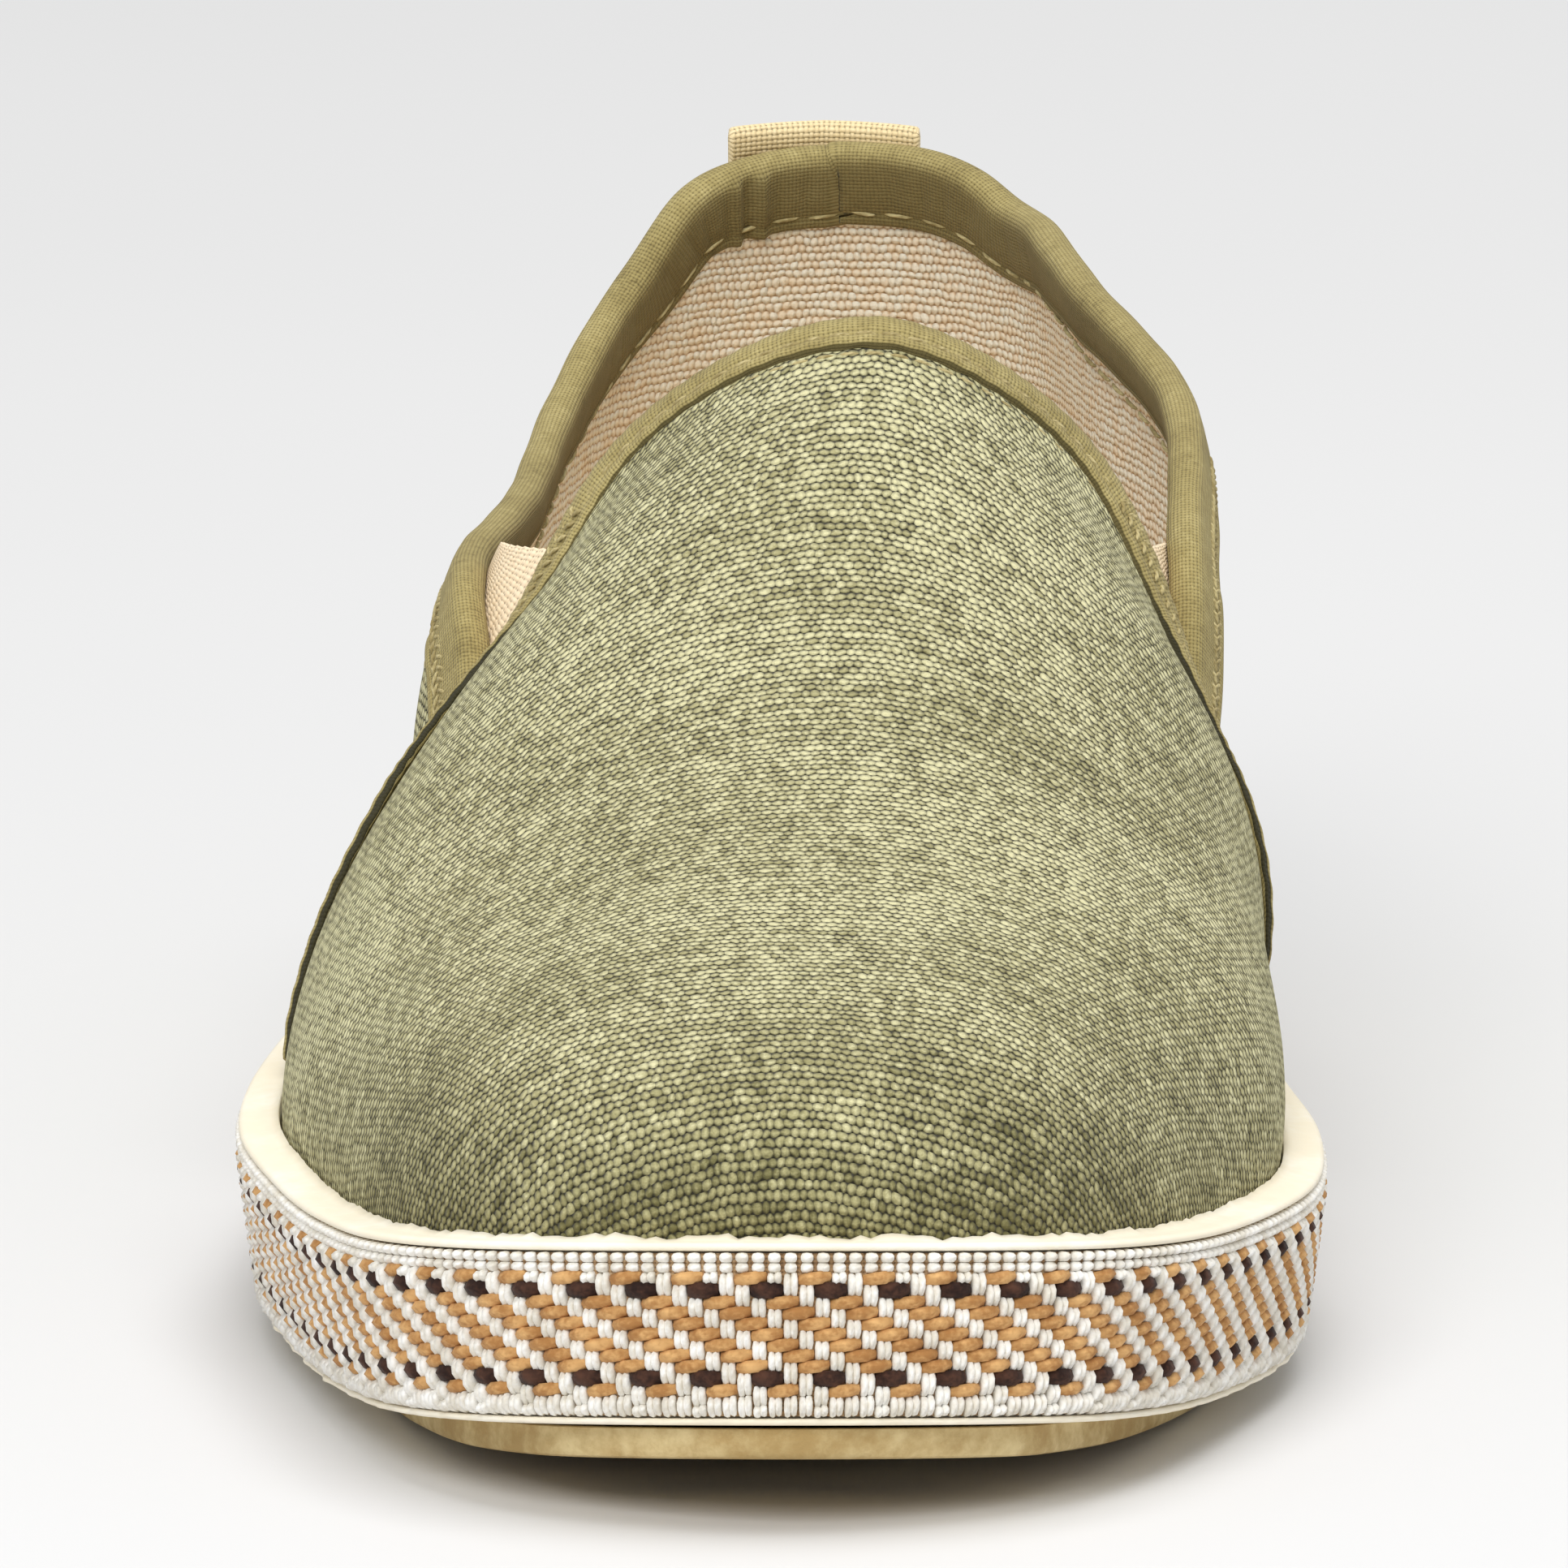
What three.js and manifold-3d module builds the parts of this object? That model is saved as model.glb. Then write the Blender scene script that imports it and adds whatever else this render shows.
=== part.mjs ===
// A right-foot canvas slip-on shoe on a moulded cup sole with a woven tape round its side.
// Millimetres. +Z is up, the toe points to -Y, and the medial side, towards the other foot, is at +X.
// The cloth upper stands in the cup, and every separate piece keeps a small clearance to its neighbours.
import * as THREE from 'three';
import { mergeVertices } from 'three/addons/utils/BufferGeometryUtils.js';
import Module from 'manifold-3d';

const wasm = await Module();
wasm.setup();

// Driving dimensions
const SOLE_LENGTH = 286;
const BALL_WIDTH = 107;
const INSTEP_HEIGHT = 90.3;
const HEEL_COLLAR_HEIGHT = 87.2;
const CLEARANCE = 0.3;

// The sole, from the floor up
const OUTSOLE_THICKNESS = 3;
const FOOT_STRIP_HEIGHT = 0.9;
const TAPE_WIDTH = 16.3;
const LIP_HEIGHT = 0.6;
const TAPE_THICKNESS = 1.4;
const SIDE_TAPER = 2.8;
const OUTSOLE_END_INSET = 0.8;
const OUTSOLE_SIDE_INSET = 6.5;
const OUTSOLE_EDGE_BEVEL = 0.8;
const TOE_SPRING = 8.2;
const ARCH_RISE = 1.5;
const RIM_WIDTH = 4.3;
const CUP_DEPTH = 5;
const INSOLE_THICKNESS = 3.5;
const GROOVE_WIDTH = 1.8;
const GROOVE_DEPTH = 1.1;
const GROOVE_PITCH = 9;
const GROOVE_BORDER = 9;
const EDGE_ROUNDING = 0.6;
const PLAIN_WAIST = { from: 0.3, to: 0.52 };
const ARCH = { heelEnd: 0.26, top: 0.44, ballEnd: 0.62 };
const SPRING_START = 0.73;

// The upper
const CLOTH_THICKNESS = 1.8;
const VAMP_STEP = 1;
const QUARTER_TUCK = 8;
const BINDING_THICKNESS = 0.9;
const VAMP_BINDING_WIDTH = 2.6;
const COLLAR_BINDING_WIDTH = 6.2;
const GORE_THICKNESS = 1;
const GORE_MARGIN = 6;
const GORE_RISE = 15;
const GORE_REACH = 17;
const LOOP_WIDTH = 19.2;
const LOOP_THICKNESS = 1.1;
const LOOP_OPENING = 0.8;
const LOOP_LENGTH = 28;
const LOOP_SEAM = 5;
const LOOP_RISE = 2.4;

const POINTS_ROUND = 72;
const ROWS_UP = 11;
const HALF_ROUND = POINTS_ROUND / 2;
const SIDE_FADE = 2.5;
const SLOPE_STEP = 0.01;

const SOLE_HEIGHT = OUTSOLE_THICKNESS + FOOT_STRIP_HEIGHT + TAPE_WIDTH + LIP_HEIGHT;
const CUP_FLOOR = SOLE_HEIGHT - CUP_DEPTH;

// The sole's outline at the rim. along is the share of the length from the heel, and the widths are shares
// of the ball width on each side of the line that runs through the middle of the heel.
const OUTLINE = [
  { along: 0.018, lateral: 0.15, medial: 0.155 },
  { along: 0.07, lateral: 0.275, medial: 0.275 },
  { along: 0.15, lateral: 0.34, medial: 0.33 },
  { along: 0.27, lateral: 0.368, medial: 0.342 },
  { along: 0.4, lateral: 0.43, medial: 0.352 },
  { along: 0.51, lateral: 0.493, medial: 0.385 },
  { along: 0.6, lateral: 0.53, medial: 0.425 },
  { along: 0.68, lateral: 0.534, medial: 0.45 },
  { along: 0.76, lateral: 0.5, medial: 0.443 },
  { along: 0.84, lateral: 0.455, medial: 0.388 },
  { along: 0.91, lateral: 0.397, medial: 0.32 },
  { along: 0.96, lateral: 0.303, medial: 0.235 },
  { along: 0.988, lateral: 0.175, medial: 0.11 },
];
const TOE_TIP = -0.034;

// The last's sections, from the heel to the toe. ridge is the height of the top line as a share of the
// instep height, shift its distance to the medial side as a share of the ball width, rise and top are the
// handles of the section's curve at the sole and at the ridge, and the two leans tip its sides out.
const SECTIONS = [
  { along: 0.17, ridge: 1.34, shift: 0.04, rise: 0.5, top: 0.57, lateralLean: 0.01, medialLean: 0.01 },
  { along: 0.29, ridge: 1.3, shift: 0.052, rise: 0.5, top: 0.68, lateralLean: 0.03, medialLean: 0.2 },
  { along: 0.4, ridge: 1.16, shift: 0.047, rise: 0.46, top: 0.47, lateralLean: 0.08, medialLean: 0.26 },
  { along: 0.475, ridge: 1.015, shift: 0.046, rise: 0.38, top: 0.42, lateralLean: -0.09, medialLean: 0.2 },
  { along: 0.54, ridge: 0.905, shift: 0.03, rise: 0.42, top: 0.47, lateralLean: -0.01, medialLean: 0.28 },
  { along: 0.6, ridge: 0.8, shift: 0.02, rise: 0.48, top: 0.49, lateralLean: 0.02, medialLean: 0.2 },
  { along: 0.68, ridge: 0.69, shift: 0.01, rise: 0.5, top: 0.5, lateralLean: 0.01, medialLean: 0.13 },
  { along: 0.75, ridge: 0.625, shift: 0, rise: 0.55, top: 0.55, lateralLean: 0, medialLean: 0.07 },
  { along: 0.8, ridge: 0.59, shift: -0.01, rise: 0.6, top: 0.6, lateralLean: 0, medialLean: 0 },
  { along: 0.84, ridge: 0.567, shift: -0.02, rise: 0.65, top: 0.6, lateralLean: 0, medialLean: 0 },
];
const HEEL_FAN = 0.2;
const TOE_FAN = 0.79;
const FAN_SPREAD = 0.035;

// Side-view lines. The vamp's back edge has its place along the shoe on each side, at heights that are shares
// of the instep height. The collar has its height on each side, as shares of the heel collar's height.
const VAMP_EDGE = [
  { height: 0.1, lateral: 0.595, medial: 0.565 },
  { height: 0.3, lateral: 0.57, medial: 0.54 },
  { height: 0.44, lateral: 0.546, medial: 0.515 },
  { height: 0.505, lateral: 0.508, medial: 0.493 },
  { height: 0.575, lateral: 0.484, medial: 0.48 },
  { height: 0.67, lateral: 0.464, medial: 0.464 },
  { height: 0.84, lateral: 0.457, medial: 0.457 },
  { height: 1, lateral: 0.4825, medial: 0.4825 },
  { height: 1.18, lateral: 0.52, medial: 0.52 },
];
const COLLAR = [
  { along: -0.1, lateral: 1, medial: 1 },
  { along: 0.04, lateral: 1, medial: 1 },
  { along: 0.074, lateral: 0.99, medial: 0.99 },
  { along: 0.092, lateral: 0.875, medial: 0.96 },
  { along: 0.125, lateral: 0.8, medial: 0.94 },
  { along: 0.165, lateral: 0.745, medial: 0.92 },
  { along: 0.22, lateral: 0.708, medial: 0.885 },
  { along: 0.3, lateral: 0.7, medial: 0.835 },
  { along: 0.36, lateral: 0.7, medial: 0.785 },
  { along: 0.4, lateral: 0.69, medial: 0.73 },
  { along: 0.425, lateral: 0.65, medial: 0.665 },
  { along: 0.4475, lateral: 0.595, medial: 0.6 },
  { along: 0.49, lateral: 0.53, medial: 0.53 },
  { along: 0.6, lateral: 0.33, medial: 0.33 },
];
const NOTCH = { along: 0.4475, height: 0.59 };

const lengthwise = (along) => (0.5 - along) * SOLE_LENGTH;
const shareAt = (y) => 0.5 - y / SOLE_LENGTH;

function smooth(value, from, to) {
  return THREE.MathUtils.smoothstep(value, from, to);
}

// The height of the sole's underside above the floor: flat heel and ball, a low arch and the toe spring.
function soleLift(y) {
  const along = shareAt(y);
  const arch = smooth(along, ARCH.heelEnd, ARCH.top) * (1 - smooth(along, ARCH.top, ARCH.ballEnd));
  const toe = Math.max(0, (along - SPRING_START) / (1 - SPRING_START));
  return ARCH_RISE * arch + TOE_SPRING * toe * toe;
}

// A closed curve through the outline's points, with its point and outward normal at each step.
function makeOutline() {
  const corner = (along, side) => new THREE.Vector3(side * BALL_WIDTH, lengthwise(along), 0);
  const lateral = OUTLINE.map((row) => corner(row.along, -row.lateral));
  const medial = OUTLINE.map((row) => corner(row.along, row.medial)).reverse();
  const curve = new THREE.CatmullRomCurve3(
    [corner(0, 0), ...lateral, corner(1, TOE_TIP), ...medial], true, 'centripetal');
  curve.arcLengthDivisions = 2000;
  const toeStep = OUTLINE.length + 1;
  const toeShare = curveShareAt(curve, toeStep / (2 * toeStep));
  return Array.from({ length: POINTS_ROUND }, (_, i) => {
    const half = i / HALF_ROUND;
    const share = half <= 1 ? half * toeShare : toeShare + (half - 1) * (1 - toeShare);
    const tangent = curve.getTangentAt(share);
    return { point: curve.getPointAt(share), normal: new THREE.Vector3(-tangent.y, tangent.x, 0).negate() };
  });
}

// The share of a curve's length at one value of its own parameter.
function curveShareAt(curve, t) {
  const lengths = curve.getLengths();
  return lengths[Math.round(t * (lengths.length - 1))] / lengths[lengths.length - 1];
}

const outline = makeOutline();

// One closed ring round the sole, moved in from the rim, at a height above the sole's underside. The extra
// inset of the sides grows where the outline runs along the shoe.
function ring(inset, height, extraAtSides = 0) {
  return outline.map(({ point, normal }) => {
    const sideways = 1 - Math.abs(normal.y) ** SIDE_FADE;
    const moved = point.clone().addScaledVector(normal, -inset - extraAtSides * sideways);
    moved.z = soleLift(moved.y) + height;
    return moved;
  });
}

// The inset of the sole's side at a height above its underside.
const sideInset = (height) => SIDE_TAPER * (1 - height / SOLE_HEIGHT);

function stitchRings(indices, lower, upper) {
  for (let i = 0; i < POINTS_ROUND; i++) {
    const next = (i + 1) % POINTS_ROUND;
    indices.push(lower(i), lower(next), upper(next), lower(i), upper(next), upper(i));
  }
}

// Closes a ring by straight rungs from its lateral half to its medial half.
function capRing(indices, at, facingDown) {
  for (let i = 0; i < HALF_ROUND; i++) {
    const a = at(i);
    const b = at(i + 1);
    const c = at((POINTS_ROUND - i - 1) % POINTS_ROUND);
    const d = at((POINTS_ROUND - i) % POINTS_ROUND);
    const faces = [];
    if (b !== c) faces.push([a, b, c]);
    if (a !== d) faces.push([a, c, d]);
    for (const [p, q, r] of faces) indices.push(...(facingDown ? [p, r, q] : [p, q, r]));
  }
}

function makeGeometry(points, indices) {
  const geometry = new THREE.BufferGeometry();
  geometry.setAttribute('position', new THREE.Float32BufferAttribute(points.flatMap((p) => p.toArray()), 3));
  geometry.setIndex(indices);
  return geometry;
}

// A solid from rings stacked upwards, with both ends closed.
function stackedSolid(rings) {
  const indices = [];
  const at = (level) => (i) => level * POINTS_ROUND + i;
  capRing(indices, at(0), true);
  for (let level = 0; level < rings.length - 1; level++) stitchRings(indices, at(level), at(level + 1));
  capRing(indices, at(rings.length - 1), false);
  return makeGeometry(rings.flat(), indices);
}

// A solid band from rings that close on themselves.
function hoopSolid(rings) {
  const indices = [];
  const at = (level) => (i) => (level % rings.length) * POINTS_ROUND + i;
  for (let level = 0; level < rings.length; level++) stitchRings(indices, at(level), at(level + 1));
  return makeGeometry(rings.flat(), indices);
}

function toSolid(geometry) {
  const bare = geometry.index ? geometry.clone() : geometry;
  bare.deleteAttribute('normal');
  bare.deleteAttribute('uv');
  const merged = mergeVertices(bare, 1e-4);
  return new wasm.Manifold(new wasm.Mesh({
    numProp: 3,
    vertProperties: new Float32Array(merged.attributes.position.array),
    triVerts: new Uint32Array(merged.index.array),
  }));
}

function toGeometry(solid) {
  const mesh = solid.getMesh();
  const geometry = new THREE.BufferGeometry();
  geometry.setAttribute('position', new THREE.Float32BufferAttribute(mesh.vertProperties, mesh.numProp));
  geometry.setIndex(Array.from(mesh.triVerts));
  return geometry;
}

// A smooth value of one column of the sections' table.
function sectionValue(column, along) {
  const rows = SECTIONS;
  let k = 0;
  while (k < rows.length - 2 && along > rows[k + 1].along) k++;
  const slope = (n) => {
    const before = rows[Math.max(0, n - 1)];
    const after = rows[Math.min(rows.length - 1, n + 1)];
    return (after[column] - before[column]) / (after.along - before.along);
  };
  const [a, b] = [rows[k], rows[k + 1]];
  const span = b.along - a.along;
  const t = THREE.MathUtils.clamp((along - a.along) / span, 0, 1);
  const [t2, t3] = [t * t, t * t * t];
  return (2 * t3 - 3 * t2 + 1) * a[column] + (t3 - 2 * t2 + t) * span * slope(k)
    + (3 * t2 - 2 * t3) * b[column] + (t3 - t2) * span * slope(k + 1);
}

function ridgePoint(along) {
  return new THREE.Vector3(
    sectionValue('shift', along) * BALL_WIDTH, lengthwise(along), sectionValue('ridge', along) * INSTEP_HEIGHT);
}

// Where a station's section meets the ridge: the sections of the heel and toe fan out from a short stretch.
function fannedStation(along) {
  if (along > TOE_FAN) return TOE_FAN + FAN_SPREAD * (1 - Math.exp((TOE_FAN - along) / FAN_SPREAD));
  if (along < HEEL_FAN) return HEEL_FAN - FAN_SPREAD * (1 - Math.exp((along - HEEL_FAN) / FAN_SPREAD));
  return along;
}

// The last as rings from the cup's floor to the ridge. The top row has one point for each pair of sides.
function lastRows(floorHeight) {
  const foot = ring(RIM_WIDTH, SOLE_HEIGHT);
  const rows = [ring(RIM_WIDTH, floorHeight), foot];
  for (let row = 1; row <= ROWS_UP; row++) {
    const t = row / ROWS_UP;
    const count = row < ROWS_UP ? POINTS_ROUND : HALF_ROUND + 1;
    rows.push(Array.from({ length: count }, (_, i) => sectionPoint(foot, i, t)));
  }
  return rows;
}

// A point of the section that starts at one point of the foot: a curve that rises and turns over to the ridge.
function sectionPoint(foot, i, t) {
  const partner = foot[(POINTS_ROUND - i) % POINTS_ROUND];
  const along = shareAt((foot[i].y + partner.y) / 2);
  const station = fannedStation(along);
  const top = ridgePoint(station);
  const out = foot[i].clone().sub(top).setZ(0);
  const reach = out.length();
  out.normalize();
  const climb = top.z - foot[i].z;
  const ahead = ridgePoint(Math.min(station + SLOPE_STEP, 1));
  const slope = (top.z - ahead.z) / (top.y - ahead.y);
  const lean = sectionValue(i < HALF_ROUND ? 'lateralLean' : 'medialLean', station);
  const low = foot[i].clone().addScaledVector(out, climb * lean);
  low.z += climb * sectionValue('rise', station);
  const handle = reach * sectionValue('top', station);
  const high = top.clone().addScaledVector(out, handle);
  high.z += handle * out.y * slope;
  const u = 1 - t;
  return foot[i].clone().multiplyScalar(u * u * u)
    .addScaledVector(low, 3 * u * u * t)
    .addScaledVector(high, 3 * u * t * t)
    .addScaledVector(top, t * t * t);
}

// The last's form grown by an offset along its own normals, closed at the bottom.
function lastForm(grow, floorHeight = CUP_FLOOR + CLEARANCE) {
  const rows = lastRows(floorHeight);
  const topStart = (rows.length - 1) * POINTS_ROUND;
  const at = (level) => (i) => (
    level < rows.length - 1
      ? level * POINTS_ROUND + i
      : topStart + Math.min(i, POINTS_ROUND - i));
  const indices = [];
  for (let level = 0; level < rows.length - 1; level++) stitchRings(indices, at(level), at(level + 1));
  const solidIndices = indices.filter((_, n) => {
    const first = n - (n % 3);
    const [a, b, c] = [indices[first], indices[first + 1], indices[first + 2]];
    return a !== b && b !== c && a !== c;
  });
  const skin = makeGeometry(rows.flat(), solidIndices);
  skin.computeVertexNormals();
  const position = skin.attributes.position;
  const normal = skin.attributes.normal;
  for (let n = 0; n < position.count; n++) {
    const level = n < 2 * POINTS_ROUND ? 0 : 1;
    const push = new THREE.Vector3().fromBufferAttribute(normal, n);
    if (level === 0) push.setZ(0).normalize();
    const moved = new THREE.Vector3().fromBufferAttribute(position, n).addScaledVector(push, grow);
    position.setXYZ(n, moved.x, moved.y, moved.z);
  }
  const closed = Array.from(skin.index.array);
  capRing(closed, at(0), true);
  skin.setIndex(closed);
  skin.deleteAttribute('normal');
  return new wasm.Manifold(new wasm.Mesh({
    numProp: 3,
    vertProperties: new Float32Array(position.array),
    triVerts: new Uint32Array(closed),
  }));
}

const OPEN_BOTTOM = CUP_FLOOR - CUP_DEPTH;
const forms = new Map();

// A form is kept once it is made, because several pieces are cut from the same one.
function form(grow, floorHeight) {
  const key = `${grow.toFixed(3)} ${floorHeight}`;
  if (!forms.has(key)) forms.set(key, lastForm(grow, floorHeight));
  return forms.get(key);
}

// The wall between two offsets of the last, open underneath.
function wall(outer, inner, floorHeight = CUP_FLOOR + CLEARANCE) {
  return form(outer, floorHeight).subtract(form(inner, OPEN_BOTTOM));
}

const REACH = 400;

// A prism across the shoe from an outline in side view, given as [y, z] pairs.
function prism(outlinePairs, halfWidth = REACH / 2) {
  const shape = new THREE.Shape(outlinePairs.map(([y, z]) => new THREE.Vector2(y, z)));
  const geometry = new THREE.ExtrudeGeometry(shape, { depth: 2 * halfWidth, bevelEnabled: false });
  geometry.translate(0, 0, -halfWidth);
  geometry.applyMatrix4(new THREE.Matrix4().set(0, 0, 1, 0, 1, 0, 0, 0, 0, 1, 0, 0, 0, 0, 0, 1));
  return toSolid(geometry);
}

const LINE_STEPS = 22;

// A smooth line through side-view points, moved sideways by an offset, as [y, z] pairs.
function sideLine(pairs, offset) {
  const points = pairs.map(([along, height]) => new THREE.Vector3(lengthwise(along), height, 0));
  const curve = new THREE.CatmullRomCurve3(points, false, 'centripetal');
  return Array.from({ length: LINE_STEPS + 1 }, (_, n) => {
    const point = curve.getPointAt(n / LINE_STEPS);
    const tangent = curve.getTangentAt(n / LINE_STEPS);
    return [point.x - tangent.y * offset, point.y + tangent.x * offset];
  });
}

// A positive offset moves the vamp's edge towards the heel, and the collar's line down.
const vampEdge = (side, offset) => sideLine(
  VAMP_EDGE.map((row) => [row[side], row.height * INSTEP_HEIGHT]), -offset);
const collarLine = (side, offset) => sideLine(
  COLLAR.map((row) => [row.along, row[side] * HEEL_COLLAR_HEIGHT]), offset);

// One half of the shoe, or both halves cut by an outline of their own.
function halfSpace(side) {
  return prism([[-REACH, -REACH], [REACH, -REACH], [REACH, REACH], [-REACH, REACH]])
    .translate([side * REACH / 2, 0, 0]);
}

function bothSides(makeOutlinePairs) {
  return prism(makeOutlinePairs('lateral')).intersect(halfSpace(-1))
    .add(prism(makeOutlinePairs('medial')).intersect(halfSpace(1)));
}

// Everything in front of the vamp's edge, everything under the collar's line, and strips between two offsets.
const beforeVampEdge = (offset) => bothSides((side) => [...vampEdge(side, offset), [-REACH, REACH],
  [-REACH, -REACH], [vampEdge(side, offset)[0][0], -REACH]]);
const underCollar = (offset) => bothSides((side) => [...collarLine(side, offset), [-REACH, -REACH],
  [REACH, -REACH]]);
const vampStrip = (from, to) => bothSides((side) => [...vampEdge(side, from),
  ...vampEdge(side, to).reverse()]);
const collarStrip = (from, to) => bothSides((side) => [...collarLine(side, from),
  ...collarLine(side, to).reverse()]);

// The upper's wall, with the vamp lapped over the quarter. A growth of 0 is the piece itself.
function upperSolid(growth) {
  const vamp = wall(growth, -CLOTH_THICKNESS - growth).intersect(beforeVampEdge(growth));
  const quarter = wall(growth - VAMP_STEP, -VAMP_STEP - CLOTH_THICKNESS - growth)
    .subtract(beforeVampEdge(-QUARTER_TUCK - growth))
    .intersect(underCollar(-growth));
  return vamp.add(quarter);
}

function biggestPart(solid) {
  return solid.decompose().reduce((a, b) => (a.volume() > b.volume() ? a : b));
}

const upper = biggestPart(upperSolid(0));
const upperRoom = upperSolid(CLEARANCE);
const bindingGrowth = CLEARANCE + BINDING_THICKNESS;

// The folded tape round the vamp's back edge, from one side of the sole over the throat to the other.
function makeVampBinding() {
  const room = wall(bindingGrowth, -CLOTH_THICKNESS - bindingGrowth, SOLE_HEIGHT + CLEARANCE);
  return biggestPart(room
    .intersect(vampStrip(-VAMP_BINDING_WIDTH, bindingGrowth))
    .subtract(upperRoom));
}

// The folded tape round the collar, down both sides to the vamp.
function makeCollarBinding() {
  const room = wall(bindingGrowth - VAMP_STEP, -VAMP_STEP - CLOTH_THICKNESS - bindingGrowth);
  return biggestPart(room
    .intersect(collarStrip(-bindingGrowth, COLLAR_BINDING_WIDTH))
    .subtract(beforeVampEdge(bindingGrowth + CLEARANCE))
    .subtract(upperRoom));
}

// The elastic wedges behind the notch between vamp and quarter, inside both walls.
function makeGore(side) {
  const outer = -VAMP_STEP - CLOTH_THICKNESS - bindingGrowth - CLEARANCE;
  const notchY = lengthwise(NOTCH.along);
  const notchZ = NOTCH.height * HEEL_COLLAR_HEIGHT;
  const outlinePairs = [
    [notchY - GORE_MARGIN, notchZ - GORE_MARGIN],
    [notchY + GORE_MARGIN, notchZ - GORE_MARGIN],
    [notchY + GORE_REACH + GORE_MARGIN, notchZ + GORE_MARGIN],
    [notchY + GORE_REACH, notchZ + GORE_RISE - GORE_MARGIN / 2],
    [notchY - GORE_MARGIN, notchZ + GORE_RISE],
  ];
  return biggestPart(wall(outer, outer - GORE_THICKNESS).intersect(prism(outlinePairs))
    .intersect(halfSpace(side)));
}

// The pull loop at the back of the heel: a tape doubled over, sewn together at its lower end.
function makePullLoop() {
  const start = bindingGrowth - VAMP_STEP + CLEARANCE;
  const end = start + 2 * LOOP_THICKNESS + LOOP_OPENING;
  const top = HEEL_COLLAR_HEIGHT + LOOP_RISE;
  const bottom = top - LOOP_LENGTH;
  const slab = (low, high) => prism([[0, low], [REACH, low], [REACH, high], [0, high]], LOOP_WIDTH / 2);
  const eye = wall(end - LOOP_THICKNESS, start + LOOP_THICKNESS)
    .intersect(prism([[0, bottom + LOOP_SEAM], [REACH, bottom + LOOP_SEAM],
      [REACH, top - LOOP_THICKNESS], [0, top - LOOP_THICKNESS]]));
  return biggestPart(wall(end, start).intersect(slab(bottom, top)).subtract(eye));
}

function makeMidsole() {
  const tapeLow = OUTSOLE_THICKNESS + FOOT_STRIP_HEIGHT;
  const tapeHigh = SOLE_HEIGHT - LIP_HEIGHT;
  const recess = TAPE_THICKNESS + CLEARANCE;
  const bottom = OUTSOLE_THICKNESS + CLEARANCE;
  return stackedSolid([
    ring(sideInset(bottom) + EDGE_ROUNDING, bottom),
    ring(sideInset(tapeLow), tapeLow - EDGE_ROUNDING / 2),
    ring(sideInset(tapeLow), tapeLow),
    ring(sideInset(tapeLow) + recess, tapeLow),
    ring(sideInset(tapeHigh) + recess, tapeHigh),
    ring(sideInset(tapeHigh), tapeHigh),
    ring(sideInset(SOLE_HEIGHT) + EDGE_ROUNDING, SOLE_HEIGHT),
    ring(RIM_WIDTH - CLEARANCE, SOLE_HEIGHT),
    ring(RIM_WIDTH - CLEARANCE, CUP_FLOOR),
  ]);
}

function makeTape() {
  const low = OUTSOLE_THICKNESS + FOOT_STRIP_HEIGHT + CLEARANCE;
  const high = SOLE_HEIGHT - LIP_HEIGHT - CLEARANCE;
  return hoopSolid([
    ring(sideInset(low), low),
    ring(sideInset(high), high),
    ring(sideInset(high) + TAPE_THICKNESS, high),
    ring(sideInset(low) + TAPE_THICKNESS, low),
  ]);
}

// The outsole, with cross grooves under the heel and the ball.
function makeOutsole() {
  const edge = sideInset(0) + OUTSOLE_END_INSET;
  const extra = OUTSOLE_SIDE_INSET - OUTSOLE_END_INSET;
  const plate = stackedSolid([
    ring(edge + OUTSOLE_EDGE_BEVEL, 0, extra),
    ring(edge, OUTSOLE_EDGE_BEVEL, extra),
    ring(edge, OUTSOLE_THICKNESS, extra),
  ]);
  const inside = edge + GROOVE_BORDER;
  const shadow = stackedSolid([ring(inside, -REACH, extra), ring(inside, REACH, extra)]);
  const grooves = [];
  for (let y = -SOLE_LENGTH / 2; y < SOLE_LENGTH / 2; y += GROOVE_PITCH) {
    const along = shareAt(y);
    if (along > PLAIN_WAIST.from && along < PLAIN_WAIST.to) continue;
    const slope = (soleLift(y + 1) - soleLift(y - 1)) / 2;
    const block = new THREE.BoxGeometry(REACH, GROOVE_WIDTH, 2 * GROOVE_DEPTH);
    block.rotateX(Math.atan(slope)).translate(0, y, soleLift(y));
    grooves.push(toSolid(block));
  }
  const cuts = grooves.reduce((all, groove) => all.add(groove)).intersect(toSolid(shadow));
  return toSolid(plate).subtract(cuts);
}

function makeInsole() {
  const bottom = CUP_FLOOR + CLEARANCE;
  const edge = RIM_WIDTH + VAMP_STEP + CLOTH_THICKNESS + CLEARANCE;
  return stackedSolid([
    ring(edge, bottom),
    ring(edge, bottom + INSOLE_THICKNESS - EDGE_ROUNDING),
    ring(edge + EDGE_ROUNDING, bottom + INSOLE_THICKNESS),
  ]);
}

const finishes = {
  canvas: new THREE.MeshStandardMaterial({ color: 0x9a9b70, roughness: 0.95 }),
  binding: new THREE.MeshStandardMaterial({ color: 0x9c8d5f, roughness: 0.9 }),
  elastic: new THREE.MeshStandardMaterial({ color: 0xf0d9b5, roughness: 0.85 }),
  webbing: new THREE.MeshStandardMaterial({ color: 0xe6c898, roughness: 0.9 }),
  rubber: new THREE.MeshStandardMaterial({ color: 0xf6ead2, roughness: 0.6 }),
  braid: new THREE.MeshStandardMaterial({ color: 0xdcc7a6, roughness: 0.95 }),
  crepe: new THREE.MeshStandardMaterial({ color: 0xcdb27c, roughness: 0.85 }),
  lining: new THREE.MeshStandardMaterial({ color: 0xdcc4a0, roughness: 0.95 }),
};

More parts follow.
